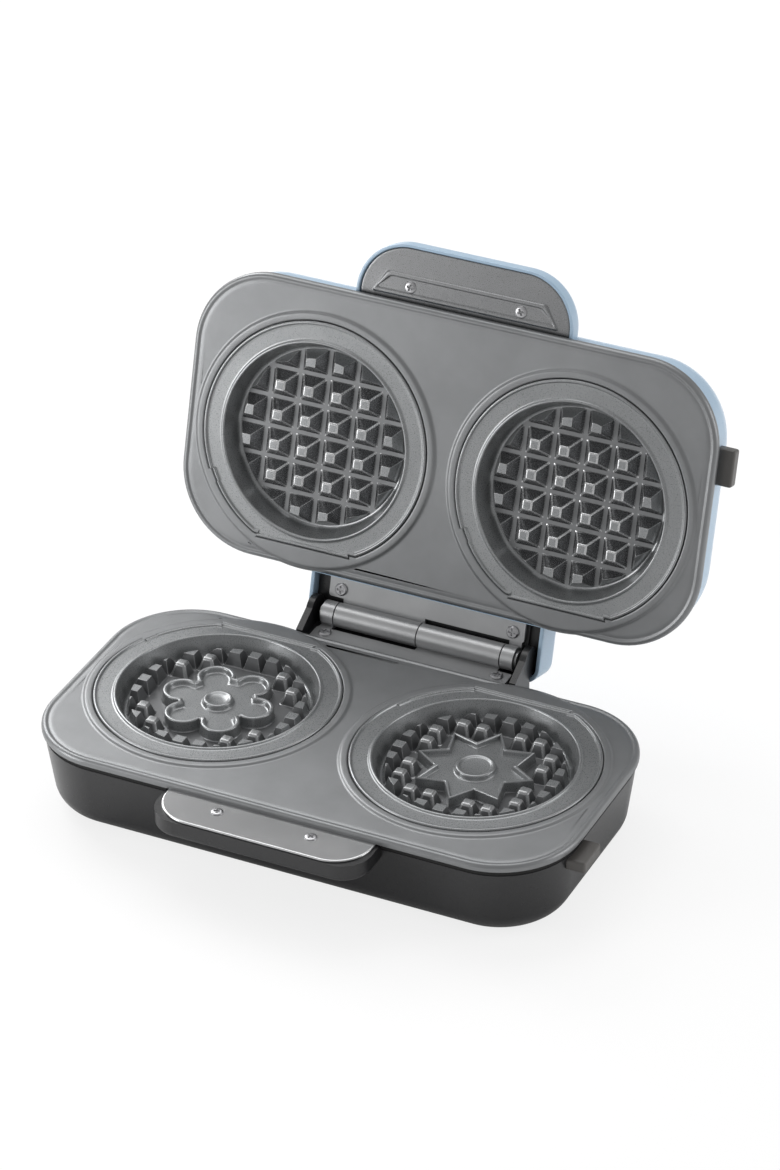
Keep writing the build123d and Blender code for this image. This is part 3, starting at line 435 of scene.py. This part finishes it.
def deck_ring(inset, z, steps):
    """One loop round the deck's outline, as many points for every inset."""
    half = DECK_LENGTH / 2
    corners = (
        (half - CORNER_FRONT, DECK_FRONT + CORNER_FRONT, CORNER_FRONT, -90),
        (half - CORNER_BACK, DECK_BACK - CORNER_BACK, CORNER_BACK, 0),
        (-half + CORNER_BACK, DECK_BACK - CORNER_BACK, CORNER_BACK, 90),
        (-half + CORNER_FRONT, DECK_FRONT + CORNER_FRONT, CORNER_FRONT, 180),
    )
    points = []
    for x, y, radius, start in corners:
        for step in range(steps + 1):
            angle = math.radians(start + 90 * step / steps)
            reach = radius - inset
            points.append(Vector((x + reach * math.cos(angle), y + reach * math.sin(angle), z)))
    return points


def plan_angles():
    """The angles that sample a plate's outline: even ones, and both sides of each step in it."""
    angles = [index * PLAN_STEP for index in range(int(round(2 * math.pi / PLAN_STEP)))]
    for edge in (
        NOTCH_ANGLE, CHORD_ANGLE, math.pi - CHORD_ANGLE, math.pi - NOTCH_ANGLE,
        KEY_ANGLE - KEY_HALF_ANGLE, KEY_ANGLE + KEY_HALF_ANGLE,
    ):
        angles += [edge - PLAN_NUDGE, edge + PLAN_NUDGE]
    return sorted(angles)


def plan_reach(angle, inset):
    """How far a plate's outline reaches at an angle, shrunk by an inset."""
    reach = PLATE_RADIUS
    if abs(angle - KEY_ANGLE) < KEY_HALF_ANGLE:
        reach -= KEY_DEPTH
    elif math.pi - CHORD_ANGLE < angle < KEY_ANGLE:
        reach -= RELIEF
    reach -= inset
    sine = math.sin(angle)
    if sine > 0:
        straight = PLATE_CHORD - inset
        if NOTCH_ANGLE < min(angle, math.pi - angle) < CHORD_ANGLE:
            straight -= NOTCH
        reach = min(reach, straight / sine)
    return reach


def plan_ring(inset, z, angles, x=0.0):
    """One loop round a plate's outline."""
    return polar_ring(lambda angle: plan_reach(angle, inset), z, angles, x)


def handle_ring(sizes, inset, z):
    """One loop round a handle's plan: two round front corners, and a straight back."""
    half = sizes["half"] - inset
    corner = sizes["corner"] - inset
    front = DECK_FRONT - sizes["reach"] + inset
    back = DECK_FRONT + sizes["tuck"]
    points = [Vector((-half, back, z))]
    for side, start in ((-1, math.pi), (1, 1.5 * math.pi)):
        for step in range(HANDLE_CORNER_STEPS + 1):
            turn = start + math.pi / 2 * step / HANDLE_CORNER_STEPS
            x = side * (half - corner) + corner * math.cos(turn)
            points.append(Vector((x, front + corner + corner * math.sin(turn), z)))
    points.append(Vector((half, back, z)))
    for step in range(1, HANDLE_BACK_STEPS):
        points.append(Vector((half - 2 * half * step / HANDLE_BACK_STEPS, back, z)))
    return points


def tail_ring(inset, root, z):
    """One loop round the tail's plan, its back corners rounded."""
    half = TAIL_HALF - inset
    corner = max(TAIL_CORNER - inset, TAIL_LEAST_CORNER)
    back = AXIS_Y + TAIL_REACH - inset
    points = [Vector((-half, root, z)), Vector((half, root, z))]
    for side, start in ((1, 0), (-1, math.pi / 2)):
        for step in range(TAIL_CORNER_STEPS + 1):
            turn = start + math.pi / 2 * step / TAIL_CORNER_STEPS
            x = side * (half - corner) + corner * math.cos(turn)
            points.append(Vector((x, back - corner + corner * math.sin(turn), z)))
    return points


def bead_ring(inset, z):
    """One loop round the cover's raised frame, a trapezoid with small round corners."""
    back = DECK_FRONT - BEAD["back"] - inset
    front = DECK_FRONT - BEAD["front"] + inset
    corners = [
        Vector((-BEAD["half_back"] + inset, back)), Vector((-BEAD["half_front"] + inset, front)),
        Vector((BEAD["half_front"] - inset, front)), Vector((BEAD["half_back"] - inset, back)),
    ]
    points = []
    for index, spot in enumerate(corners):
        before = corners[index - 1]
        after = corners[(index + 1) % 4]
        first = spot + (before - spot).normalized() * BEAD["corner"]
        last = spot + (after - spot).normalized() * BEAD["corner"]
        for step in range(BEAD_STEPS + 1):
            share = step / BEAD_STEPS
            middle = first.lerp(spot, share).lerp(spot.lerp(last, share), share)
            points.append(Vector((middle.x, middle.y, z)))
    return points


def cross_reach(angle, length, half_width):
    """How far a cross-shaped recess reaches at an angle."""
    turn = angle % (math.pi / 2)
    turn = min(turn, math.pi / 2 - turn)
    return min(length / math.cos(turn), half_width / max(math.sin(turn), 0.001))


def flower_reach(angle, shrink):
    """How far the flower reaches at an angle: the largest of its petals' circles."""
    reach = PETAL_REACH - shrink
    radius = PETAL_RADIUS - shrink
    for index in range(PETALS):
        turn = angle - 2 * math.pi * index / PETALS
        across = PETAL_REACH * math.sin(turn)
        if math.cos(turn) > 0 and abs(across) < radius:
            along = PETAL_REACH * math.cos(turn)
            reach = max(reach, along + math.sqrt(radius ** 2 - across ** 2))
    return reach


def star_reach(angle, shrink):
    """How far the star reaches at an angle: straight lines between outer and inner corners."""
    step = math.pi / STAR_POINTS
    place = angle % (2 * step)
    place = min(place, 2 * step - place)
    outer = STAR_OUTER - shrink
    inner = STAR_INNER - shrink
    cross = outer * inner * math.sin(step)
    return cross / (outer * math.sin(place) + inner * math.sin(step - place))


MOTIFS = {"left": (flower_reach, FLOWER_EYE), "right": (star_reach, STAR_EYE)}


# Decks

def make_deck(half, material):
    """The pressed deck: a rolled edge, a flat, and round each plate a raised ring and a seat."""
    bm = bmesh.new()
    angles = plan_angles()
    outer = add_rings(bm, [deck_ring(inset, z, DECK_CORNER_STEPS) for inset, z in DECK_EDGE])
    holes = []
    for x in SIDES.values():
        rings = [circle(radius, z, angles, x) for radius, z in RING_SLOPE]
        rings += [plan_ring(inset, z, angles, x) for inset, z in RING_LIP + SEAT]
        holes.append(add_rings(bm, rings))
    fill_between(bm, [outer[-1]] + [hole[0] for hole in holes])
    inner = [bm.verts.new((vert.co.x, vert.co.y, -DECK_SHEET)) for vert in outer[0]]
    join_rows(bm, outer[0], inner)
    fill_between(bm, [inner] + [hole[-1] for hole in holes])
    piece = new_piece(f"{half}_deck_pressing", bm, half, material, half)
    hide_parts(f"{half}_deck")


# Plates

def cut_to_cone(bm, x, y, flank):
    """Cuts a pyramid back with the planes that touch the cone inside the cavity's wall."""
    foot = FLOOR_RADIUS - GRID_MARGIN
    heading = math.atan2(y, x)
    for turn in CUT_TURNS:
        angle = heading + math.radians(turn)
        away = Vector((math.cos(angle), math.sin(angle), flank))
        spot = Vector((foot * math.cos(angle), foot * math.sin(angle), CAVITY_FLOOR))
        geometry = bm.verts[:] + bm.edges[:] + bm.faces[:]
        cut = bmesh.ops.bisect_plane(
            bm, geom=geometry, plane_co=spot, plane_no=away, clear_outer=True)
        edges = [item for item in cut["geom_cut"] if isinstance(item, bmesh.types.BMEdge)]
        if edges:
            bmesh.ops.edgeloop_fill(bm, edges=edges)


def add_frustum(bm, x, y, grid):
    """One pyramid with its point cut off: a flared foot, flat flanks and rounded edges."""
    base = grid["base"] / 2
    flank = (base - grid["top"] / 2) / grid["height"]
    piece = bmesh.new()
    rings = [square(base + outset, CAVITY_FLOOR + z, x, y) for outset, z in FLARE]
    rings.append(square(base - flank * FLARE_TOP, CAVITY_FLOOR + FLARE_TOP, x, y))
    rings.append(square(grid["top"] / 2, CAVITY_FLOOR + grid["height"], x, y))
    rows = add_rings(piece, rings)
    piece.faces.new(rows[0])
    # The flanks and the foot take the darker flank look: painted shade
    for face in piece.faces:
        face.material_index = FLANK_SHADE_INDEX
    piece.faces.new(rows[-1])
    if math.hypot(abs(x) + base, abs(y) + base) > FLOOR_RADIUS - GRID_MARGIN:
        cut_to_cone(piece, x, y, flank)
    bmesh.ops.recalc_face_normals(piece, faces=piece.faces)
    crests = [
        edge for edge in piece.edges
        if edge.is_convex and edge.calc_face_angle(0) > CREST_TURN
        and min(vert.co.z for vert in edge.verts) > CAVITY_FLOOR - FOOT_SUNK / 2
    ]
    # The bevelled crests take the light edge look: a painted highlight
    bmesh.ops.bevel(
        piece, geom=crests, offset=grid["edge"], segments=grid["steps"], profile=0.5,
        affect="EDGES", clamp_overlap=True, material=EDGE_HIGHLIGHT_INDEX)
    holder = bpy.data.meshes.new("pyramid")
    piece.to_mesh(holder)
    piece.free()
    bm.from_mesh(holder)
    bpy.data.meshes.remove(holder)


def is_clear(x, y, half_width, reach_at):
    """Whether a square stays outside a motif's outline."""
    for step in range(CLEAR_STEPS):
        slide = -half_width + 2 * half_width * step / CLEAR_STEPS
        for point in (
            (x + slide, y - half_width), (x + half_width, y + slide),
            (x - slide, y + half_width), (x - half_width, y - slide),
        ):
            angle = math.atan2(point[1], point[0]) % (2 * math.pi)
            if math.hypot(*point) < reach_at(angle, 0):
                return False
    return True


def add_grid(bm, grid, reach_at=None):
    """The square grid of pyramids over the cavity's floor, clear of a motif."""
    middle = (grid["count"] - 1) / 2
    for column in range(grid["count"]):
        for row in range(grid["count"]):
            x = (column - middle) * grid["pitch"]
            y = (row - middle) * grid["pitch"]
            if math.hypot(x, y) > FLOOR_RADIUS:
                continue
            if reach_at is None or is_clear(x, y, grid["base"] / 2 + MOTIF_MARGIN, reach_at):
                add_frustum(bm, x, y, grid)


def add_motif(bm, reach_at, eye):
    """A raised line with a rounded crest round a lower field, and a round eye."""
    angles = [2 * math.pi * index / MOTIF_STEPS for index in range(MOTIF_STEPS)]
    rings = [
        polar_ring(lambda angle: reach_at(angle, inset), z, angles) for inset, z in MOTIF_RIDGE
    ]
    rings += [circle(eye + outset, z, angles) for outset, z in EYE_RIDGE]
    rings.append(circle(*EYE_PIT, angles))
    add_rings(bm, rings, close_start=True, close_end=True)


def make_plate(half, side, material, grid_painted_light_looks):
    """A cast plate: keyed rim with a rolled lip, a flat ring, and the cavity with its grid."""
    bm = bmesh.new()
    angles = plan_angles()
    rings = [circle(radius, z, angles) for radius, z in BOWL]
    rings += [plan_ring(inset, z, angles) for inset, z in PLATE_RIM]
    rings += [circle(radius, z, angles) for radius, z in CAVITY_WALL]
    add_rings(bm, rings, close_start=True, close_end=True)
    # Faces on the cavity's floor take the darker floor look: painted shade between the pyramids and nubs
    for face in bm.faces:
        if all(abs(vert.co.z - CAVITY_FLOOR) < LEVEL_ERROR for vert in face.verts):
            face.material_index = FLOOR_SHADE_INDEX
    add_block(bm, LUG_LOW, LUG_HIGH, LUG_ROUND, LUG_STEPS)
    if half == "lid":
        add_grid(bm, PYRAMID)
    else:
        reach_at, eye = MOTIFS[side]
        add_grid(bm, NUB, reach_at)
        add_motif(bm, reach_at, eye)
    bmesh.ops.translate(bm, vec=(SIDES[side], 0, 0), verts=bm.verts)
    node = f"{half}_plate_{side}"
    piece = new_piece(f"{node}_casting", bm, half, material, node)
    # After the plate's own coating: the grid's painted-shade flank, painted-highlight edge and painted-shade floor
    # looks
    for extra in grid_painted_light_looks:
        piece.data.materials.append(extra)
    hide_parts(node)


# Housings

def wall_inset(sizes, z):
    """How far a half's leaning wall lies inside its deck's outline, at a level."""
    return sizes["inset"] + (-z - RIM_TOP) * math.tan(math.radians(sizes["lean"]))


def add_shell(bm, sizes):
    """The outer skin of a half's housing: a soft top edge, a leaning wall and a round below."""
    lean = math.radians(sizes["lean"])
    across, down, proud = sizes["across"], sizes["down"], sizes["proud"]
    start = wall_inset(sizes, -sizes["top"]) - proud
    foot = wall_inset(sizes, -sizes["depth"])
    centre_z = -sizes["depth"] + down
    touch = math.hypot(across * math.cos(lean), down * math.sin(lean))
    middle = foot + (touch - down * math.sin(lean)) / math.cos(lean)
    profile = [(start + inset, z - sizes["top"]) for inset, z in SHELL_LIP]
    for step in range(ROUND_STEPS + 1):
        angle = lean + (math.pi / 2 - lean) * step / ROUND_STEPS
        span = math.hypot(across * math.cos(angle), down * math.sin(angle))
        profile.append((
            middle - (across ** 2 / span + proud) * math.cos(angle),
            centre_z - (down ** 2 / span + proud) * math.sin(angle)))
    profile += [(middle + inset, z - sizes["depth"]) for inset, z in sizes["below"]]
    rings = [deck_ring(inset, z, SHELL_CORNER_STEPS) for inset, z in profile]
    add_rings(bm, rings, close_end=sizes["closed"])


def add_handle(bm):
    """The lid's handle: a thick rim round the pocket of its cover, and a full round below."""
    profile = HANDLE_RIM + tuple(quarter(HANDLE_EDGE, -HANDLE_LOW))
    rings = [handle_ring(LID_HANDLE, inset, z) for inset, z in profile]
    add_rings(bm, rings, close_start=True, close_end=True)


def add_tail(bm):
    """The lid's tail: an open box with round lower edges, whose root joins the shell."""
    rings = [tail_ring(inset, root, z) for inset, root, z in TAIL_RIM]
    rings += [tail_ring(inset, TAIL_ROOT, z) for inset, z in quarter(TAIL_EDGE, -TAIL_DEPTH)]
    add_rings(bm, rings, close_start=True, close_end=True)


def make_lid_shell(material):
    """The lid's light blue housing, with its handle and its tail."""
    bm = bmesh.new()
    add_shell(bm, LID_SHELL)
    add_handle(bm)
    add_tail(bm)
    piece = new_piece("lid_shell", bm, "lid", material, "lid", SHELL_SMOOTH_ANGLE)
    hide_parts("lid_housing")


def make_base_skin(material):
    """The base's black wall, laid over its housing."""
    bm = bmesh.new()
    add_shell(bm, BASE_SHELL)
    new_piece("base_shell_skin", bm, "base", material, "base")


def make_painted_rim_shade(material):
    """A near-black band laid just proud of the housing's wall below the base's deck: painted shade for the recess
    under the deck's edge.
    """
    bm = bmesh.new()
    rings = []
    for inset, z in PAINTED_SHADE_PROFILE:
        rings.append(deck_ring(wall_inset(BASE_SHELL, z) + inset, z, SHELL_CORNER_STEPS))
    add_rings(bm, rings)
    new_piece("base_rim_painted_shade", bm, "base", material, "base")


# Handle covers, screws and buttons

def make_cover(half, sizes, material):
    """A handle's pressed cover: rolled edges and, on the lid's, a raised frame round its screws."""
    bm = bmesh.new()
    top = -sizes["top"]
    rings = [handle_ring(sizes, inset, top + z) for inset, z in COVER_EDGE]
    loops = [add_rings(bm, rings, close_start=True)[-1]]
    if half == "lid":
        bead = add_rings(bm, [bead_ring(inset, top + z) for inset, z in BEAD_EDGE])
        bm.faces.new(bead[-1])
        loops.append(bead[0])
    fill_between(bm, loops)
    node = f"{half}_handle_cover"
    piece = new_piece(f"{node}_pressing", bm, half, material, half)
    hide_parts(node)


def make_screws(half, spot, level, material):
    """Two low-headed screws with a cross recess, left and right of the middle."""
    bm = bmesh.new()
    angles = [2 * math.pi * (index + 0.5) / SCREW_STEPS for index in range(SCREW_STEPS)]
    for side, turn in SCREW_TURNS.items():
        x, y = side * spot[0], DECK_FRONT - spot[1]
        rings = [circle(SCREW_RADIUS - inset, level + z, angles, x, y) for inset, z in SCREW_HEAD]
        rings += [
            polar_ring(lambda angle: cross_reach(angle - turn, length, half_width),
                       level + z, angles, x, y)
            for length, half_width, z in SCREW_CROSS
        ]
        add_rings(bm, rings, close_start=True, close_end=True)
    node = f"{half}_handle_screws"
    piece = new_piece(
        f"{node}_heads", bm, half, material, half, SCREW_SMOOTH_ANGLE)
    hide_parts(node)


def make_button(half, material):
    """The release button at the side of a half, with softened edges."""
    bm = bmesh.new()
    low = (
        DECK_LENGTH / 2 - BUTTON["root"],
        BUTTON_Y[half] - BUTTON["length"] / 2,
        -BUTTON["middle"] - BUTTON["height"] / 2,
    )
    high = (
        DECK_LENGTH / 2 + BUTTON["reach"],
        BUTTON_Y[half] + BUTTON["length"] / 2,
        -BUTTON["middle"] + BUTTON["height"] / 2,
    )
    add_block(bm, low, high, BUTTON["round"], BUTTON["steps"])
    piece = new_piece(f"{half}_button", bm, half, material, f"{half}_release")
    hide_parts(f"{half}_release_button")


# Materials

def node_material(name, colour, rough, metallic=0.0, coat=0.0):
    """A material with its shader's plain values set, and the nodes that the others build on."""
    material = bpy.data.materials.new(name)
    material.use_nodes = True
    tree = material.node_tree
    shader = tree.nodes["Principled BSDF"]
    shader.inputs["Base Color"].default_value = (*colour, 1)
    shader.inputs["Roughness"].default_value = rough
    shader.inputs["Metallic"].default_value = metallic
    shader.inputs["Coat Weight"].default_value = coat
    return material, tree, shader


def texture_place(tree, scale=(1, 1, 1)):
    """Object coordinates, stretched by a scale in each direction."""
    coordinates = tree.nodes.new("ShaderNodeTexCoord")
    mapping = tree.nodes.new("ShaderNodeMapping")
    mapping.inputs["Scale"].default_value = scale
    tree.links.new(coordinates.outputs["Object"], mapping.inputs["Vector"])
    return mapping.outputs["Vector"]


def noise(tree, place, scale, detail, roughness=0.55):
    """The value of a noise texture."""
    texture = tree.nodes.new("ShaderNodeTexNoise")
    texture.inputs["Scale"].default_value = scale
    texture.inputs["Detail"].default_value = detail
    texture.inputs["Roughness"].default_value = roughness
    tree.links.new(place, texture.inputs["Vector"])
    return texture.outputs["Fac"]


def weave(tree, scale, direction):
    """The value of a woven texture."""
    texture = tree.nodes.new("ShaderNodeTexWave")
    texture.bands_direction = direction
    texture.inputs["Scale"].default_value = scale
    tree.links.new(texture_place(tree), texture.inputs["Vector"])
    return texture.outputs["Fac"]


def paint(tree, shader, value, colour, dark, light):
    """A base colour that a texture's value moves between two shades of one colour."""
    ramp = tree.nodes.new("ShaderNodeValToRGB")
    for element, position, factor in zip(
            ramp.color_ramp.elements, (NOISE_LOW, NOISE_HIGH), (dark, light)):
        element.position = position
        element.color = (*(channel * factor for channel in colour), 1)
    tree.links.new(value, ramp.inputs["Fac"])
    tree.links.new(ramp.outputs["Color"], shader.inputs["Base Color"])


def gloss(tree, shader, value, low, high):
    """A roughness that a noise value moves between two numbers."""
    ramp = tree.nodes.new("ShaderNodeMapRange")
    ramp.inputs["From Min"].default_value = NOISE_LOW
    ramp.inputs["From Max"].default_value = NOISE_HIGH
    ramp.inputs["To Min"].default_value = low
    ramp.inputs["To Max"].default_value = high
    tree.links.new(value, ramp.inputs["Value"])
    tree.links.new(ramp.outputs["Result"], shader.inputs["Roughness"])


def bump(tree, shader, value, distance_m):
    """A surface that a texture's value raises by up to a distance."""
    node = tree.nodes.new("ShaderNodeBump")
    node.inputs["Distance"].default_value = distance_m
    tree.links.new(value, node.inputs["Height"])
    tree.links.new(node.outputs["Normal"], shader.inputs["Normal"])


def coated_metal(name, colour, rough, metallic, grain_m=0.00002):
    """A fine-grained satin coating on metal."""
    material, tree, shader = node_material(name, colour, rough, metallic)
    place = texture_place(tree)
    fine = noise(tree, place, COATING_GRAIN, 2.0)
    broad = noise(tree, place, COATING_CLOUD, 3.0)
    paint(tree, shader, broad, colour, 0.94, 1.06)
    gloss(tree, shader, fine, rough - 0.05, rough + 0.05)
    bump(tree, shader, fine, grain_m)
    return material


def brushed_metal(name, colour, rough, grain_m=0.00001):
    """Metal brushed along X."""
    material, tree, shader = node_material(name, colour, rough, 1.0)
    lines = noise(tree, texture_place(tree, BRUSH_SCALE), 1.0, 4.0, 0.65)
    paint(tree, shader, lines, colour, 0.86, 1.1)
    gloss(tree, shader, lines, rough - 0.06, rough + 0.08)
    bump(tree, shader, lines, grain_m)
    return material


def moulding(name, colour, rough, grain_m=0.00002, coat=0.0):
    """Moulded plastic with a faint texture and slight unevenness in its gloss."""
    material, tree, shader = node_material(name, colour, rough, 0.0, coat)
    place = texture_place(tree)
    fine = noise(tree, place, MOULDING_GRAIN, 3.0)
    broad = noise(tree, place, MOULDING_CLOUD, 2.0)
    paint(tree, shader, broad, colour, 0.985, 1.015)
    gloss(tree, shader, fine, rough - 0.03, rough + 0.03)
    bump(tree, shader, fine, grain_m)
    return material


def lens_material(name, colour):
    """A clear coloured lens over a frosted body."""
    material, tree, shader = node_material(name, colour, 0.12, 0.0, 0.6)
    shader.inputs["Transmission Weight"].default_value = 0.35
    paint(tree, shader, noise(tree, texture_place(tree), LENS_FROST, 2.0), colour, 0.7, 1.0)
    return material


def laminate():
    """Green board laminate with a faint woven ground."""
    colour = (0.05, 0.17, 0.07)
    material, tree, shader = node_material("board_laminate_look", colour, 0.4)
    paint(tree, shader, weave(tree, BOARD_WEAVE, "X"), colour, 0.8, 1.0)
    return material


def braid():
    """Heat-proof woven sleeve on the leads."""
    colour = (0.62, 0.59, 0.52)
    material, tree, shader = node_material("wire_sleeve_look", colour, 0.8)
    threads = weave(tree, SLEEVE_WEAVE, "DIAGONAL")
    paint(tree, shader, threads, colour, 0.7, 1.0)
    bump(tree, shader, threads, 0.0001)
    return material


LOOKS = {
    "black_moulding": moulding("black_moulding_look", (0.012, 0.012, 0.013), 0.3),
    "blue_shell": moulding("blue_shell_look", (0.335, 0.455, 0.575), 0.3, 0.000012, 0.15),
    "pewter_coating": coated_metal("pewter_deck_look", (0.21, 0.215, 0.22), 0.4, 0.62),
    "plate_coating": coated_metal("pewter_plate_look", (0.26, 0.267, 0.272), 0.3, 0.65, 0.00001),
    "brushed_cover": coated_metal("base_cover_look", (0.5, 0.503, 0.508), 0.17, 0.95, 0.000003),
    "hinge_steel": coated_metal("hinge_steel_look", (0.36, 0.364, 0.369), 0.36, 0.75),
    "screw_steel": brushed_metal("screw_steel_look", (0.40, 0.40, 0.41), 0.3),
    "element_sheath": coated_metal("element_sheath_look", (0.20, 0.185, 0.17), 0.45, 0.9),
    "reflector_sheet": brushed_metal("reflector_sheet_look", (0.62, 0.62, 0.63), 0.28),
    "spring_steel": brushed_metal("spring_steel_look", (0.38, 0.38, 0.40), 0.32),
    "grey_button": moulding("grey_button_look", (0.085, 0.080, 0.075), 0.4),
    "control_body": moulding("control_body_look", (0.20, 0.12, 0.06), 0.45),
    "foot_rubber": moulding("foot_rubber_look", (0.018, 0.018, 0.018), 0.7, 0.00005),
    "red_lens": lens_material("red_lens_look", (0.5, 0.02, 0.015)),
    "green_lens": lens_material("green_lens_look", (0.03, 0.35, 0.08)),
    "board_laminate": laminate(),
    "wire_cover": braid(),
}
# Near-black, darker than the black moulding: painted shade for the recess under the base deck's edge
RIM_SHADE_PAINT = moulding("rim_painted_shade_look", (0.003, 0.003, 0.003), 0.8)
COVER_LOOKS = {
    "base": LOOKS["brushed_cover"],
    "lid": coated_metal("lid_cover_look", (0.22, 0.223, 0.227), 0.3, 0.85),
}
# The looks of a grid's flanks, edges and floor, in the order of their material indexes: darker and lighter copies
# of the plate's coating, with painted shade on the flanks and floor and a painted highlight on the edges
GRID_PAINTED_LIGHT_LOOKS = {
    "base": (
        coated_metal("nub_flank_painted_shade_look", (0.15, 0.153, 0.157), 0.34, 0.6, 0.00001),
        coated_metal("nub_edge_painted_highlight_look", (0.31, 0.315, 0.32), 0.3, 0.7, 0.000006),
        coated_metal("nub_floor_painted_shade_look", (0.15, 0.153, 0.157), 0.34, 0.6, 0.00001),
    ),
    "lid": (
        coated_metal("pyramid_flank_painted_shade_look", (0.155, 0.158, 0.162), 0.26, 0.8, 0.000006),
        coated_metal("pyramid_edge_painted_highlight_look", (0.55, 0.555, 0.56), 0.26, 0.8, 0.000006),
        coated_metal("pyramid_floor_painted_shade_look", (0.18, 0.184, 0.188), 0.34, 0.6, 0.00001),
    ),
}


def dress_cad():
    """Gives every carried-over CAD node the look of its slot."""
    for subpart in frame["record"]["subparts"]:
        node = frame["nodes"][subpart["node"]]
        node.data.materials.clear()
        node.data.materials.append(LOOKS[subpart["material_slot"]])


# Stage

def seen_ray(tree):
    """One for a ray from the camera, and zero for any other."""
    path = tree.nodes.new("ShaderNodeLightPath")
    return path.outputs["Is Camera Ray"]


def make_floor():
    """A plain floor that the camera sees nearly white, and that keeps the object's shadow."""
    bm = bmesh.new()
    bmesh.ops.create_grid(bm, x_segments=2, y_segments=2, size=FLOOR_REACH_M)
    mesh = bpy.data.meshes.new("floor")
    bm.to_mesh(mesh)
    bm.free()
    floor = bpy.data.objects.new("floor", mesh)
    bpy.context.scene.collection.objects.link(floor)
    material, tree, shader = node_material("floor_look", FLOOR_COLOUR, 0.9)
    glow = tree.nodes.new("ShaderNodeEmission")
    blend = tree.nodes.new("ShaderNodeMixShader")
    share = tree.nodes.new("ShaderNodeMath")
    share.operation = "MULTIPLY"
    share.inputs[1].default_value = FLOOR_WHITE
    tree.links.new(seen_ray(tree), share.inputs[0])
    tree.links.new(share.outputs[0], blend.inputs["Fac"])
    tree.links.new(shader.outputs["BSDF"], blend.inputs[1])
    tree.links.new(glow.outputs["Emission"], blend.inputs[2])
    tree.links.new(blend.outputs["Shader"], tree.nodes["Material Output"].inputs["Surface"])
    mesh.materials.append(material)


def make_world():
    """Plain soft light, with a white background for the camera."""
    world = bpy.data.worlds.new("studio")
    world.use_nodes = True
    tree = world.node_tree
    background = tree.nodes["Background"]
    background.inputs["Color"].default_value = (1, 1, 1, 1)
    level = tree.nodes.new("ShaderNodeMapRange")
    level.inputs["To Min"].default_value = WORLD_LIGHT
    level.inputs["To Max"].default_value = 1.0
    tree.links.new(seen_ray(tree), level.inputs["Value"])
    tree.links.new(level.outputs["Result"], background.inputs["Strength"])
    bpy.context.scene.world = world


def make_light(name, place, target, size, power):
    """A rectangular lamp that faces its target."""
    data = bpy.data.lights.new(name, "AREA")
    data.shape = "RECTANGLE"
    data.size, data.size_y = size
    data.energy = power
    light = bpy.data.objects.new(name, data)
    light.location = place
    aim = Vector(target) - Vector(place)
    light.rotation_euler = aim.to_track_quat("-Z", "Y").to_euler()
    bpy.context.scene.collection.objects.link(light)


def make_camera():
    """The photograph's camera, aimed by its azimuth, elevation and roll."""
    azimuth = math.radians(CAMERA_AZIMUTH)
    elevation = math.radians(CAMERA_ELEVATION)
    roll = math.radians(CAMERA_ROLL)
    back = Vector((
        math.sin(azimuth) * math.cos(elevation),
        -math.cos(azimuth) * math.cos(elevation),
        math.sin(elevation),
    ))
    right = Vector((math.cos(azimuth), math.sin(azimuth), 0))
    up = back.cross(right)
    across = right * math.cos(roll) + up * math.sin(roll)
    upward = up * math.cos(roll) - right * math.sin(roll)
    place = Vector(CAMERA_TARGET_M) + back * CAMERA_DISTANCE_M
    data = bpy.data.cameras.new("camera")
    data.lens = CAMERA_LENS
    data.sensor_fit = "AUTO"
    data.clip_end = CAMERA_CLIP_M
    camera = bpy.data.objects.new("camera", data)
    camera.matrix_world = Matrix((
        (across.x, upward.x, back.x, place.x),
        (across.y, upward.y, back.y, place.y),
        (across.z, upward.z, back.z, place.z),
        (0, 0, 0, 1),
    ))
    bpy.context.scene.collection.objects.link(camera)
    bpy.context.scene.camera = camera


bpy.context.scene.view_settings.view_transform = "Standard"
make_camera()
make_world()
make_floor()
for light_name, light_values in LIGHTS.items():
    make_light(light_name, *light_values)

dress_cad()
make_base_skin(LOOKS["black_moulding"])
make_painted_rim_shade(RIM_SHADE_PAINT)
make_lid_shell(LOOKS["blue_shell"])
make_cover("base", BASE_COVER, COVER_LOOKS["base"])
make_cover("lid", LID_COVER, COVER_LOOKS["lid"])
make_screws("base", BASE_SCREW, -BASE_COVER["top"], LOOKS["screw_steel"])
make_screws("lid", LID_SCREW, -LID_COVER["top"] + PANEL_RISE, LOOKS["screw_steel"])
for half_name in ("base", "lid"):
    make_button(half_name, LOOKS["grey_button"])
for half_name in ("base", "lid"):
    make_deck(half_name, LOOKS["pewter_coating"])
    for side_name in SIDES:
        make_plate(half_name, side_name, LOOKS["plate_coating"], GRID_PAINTED_LIGHT_LOOKS[half_name])
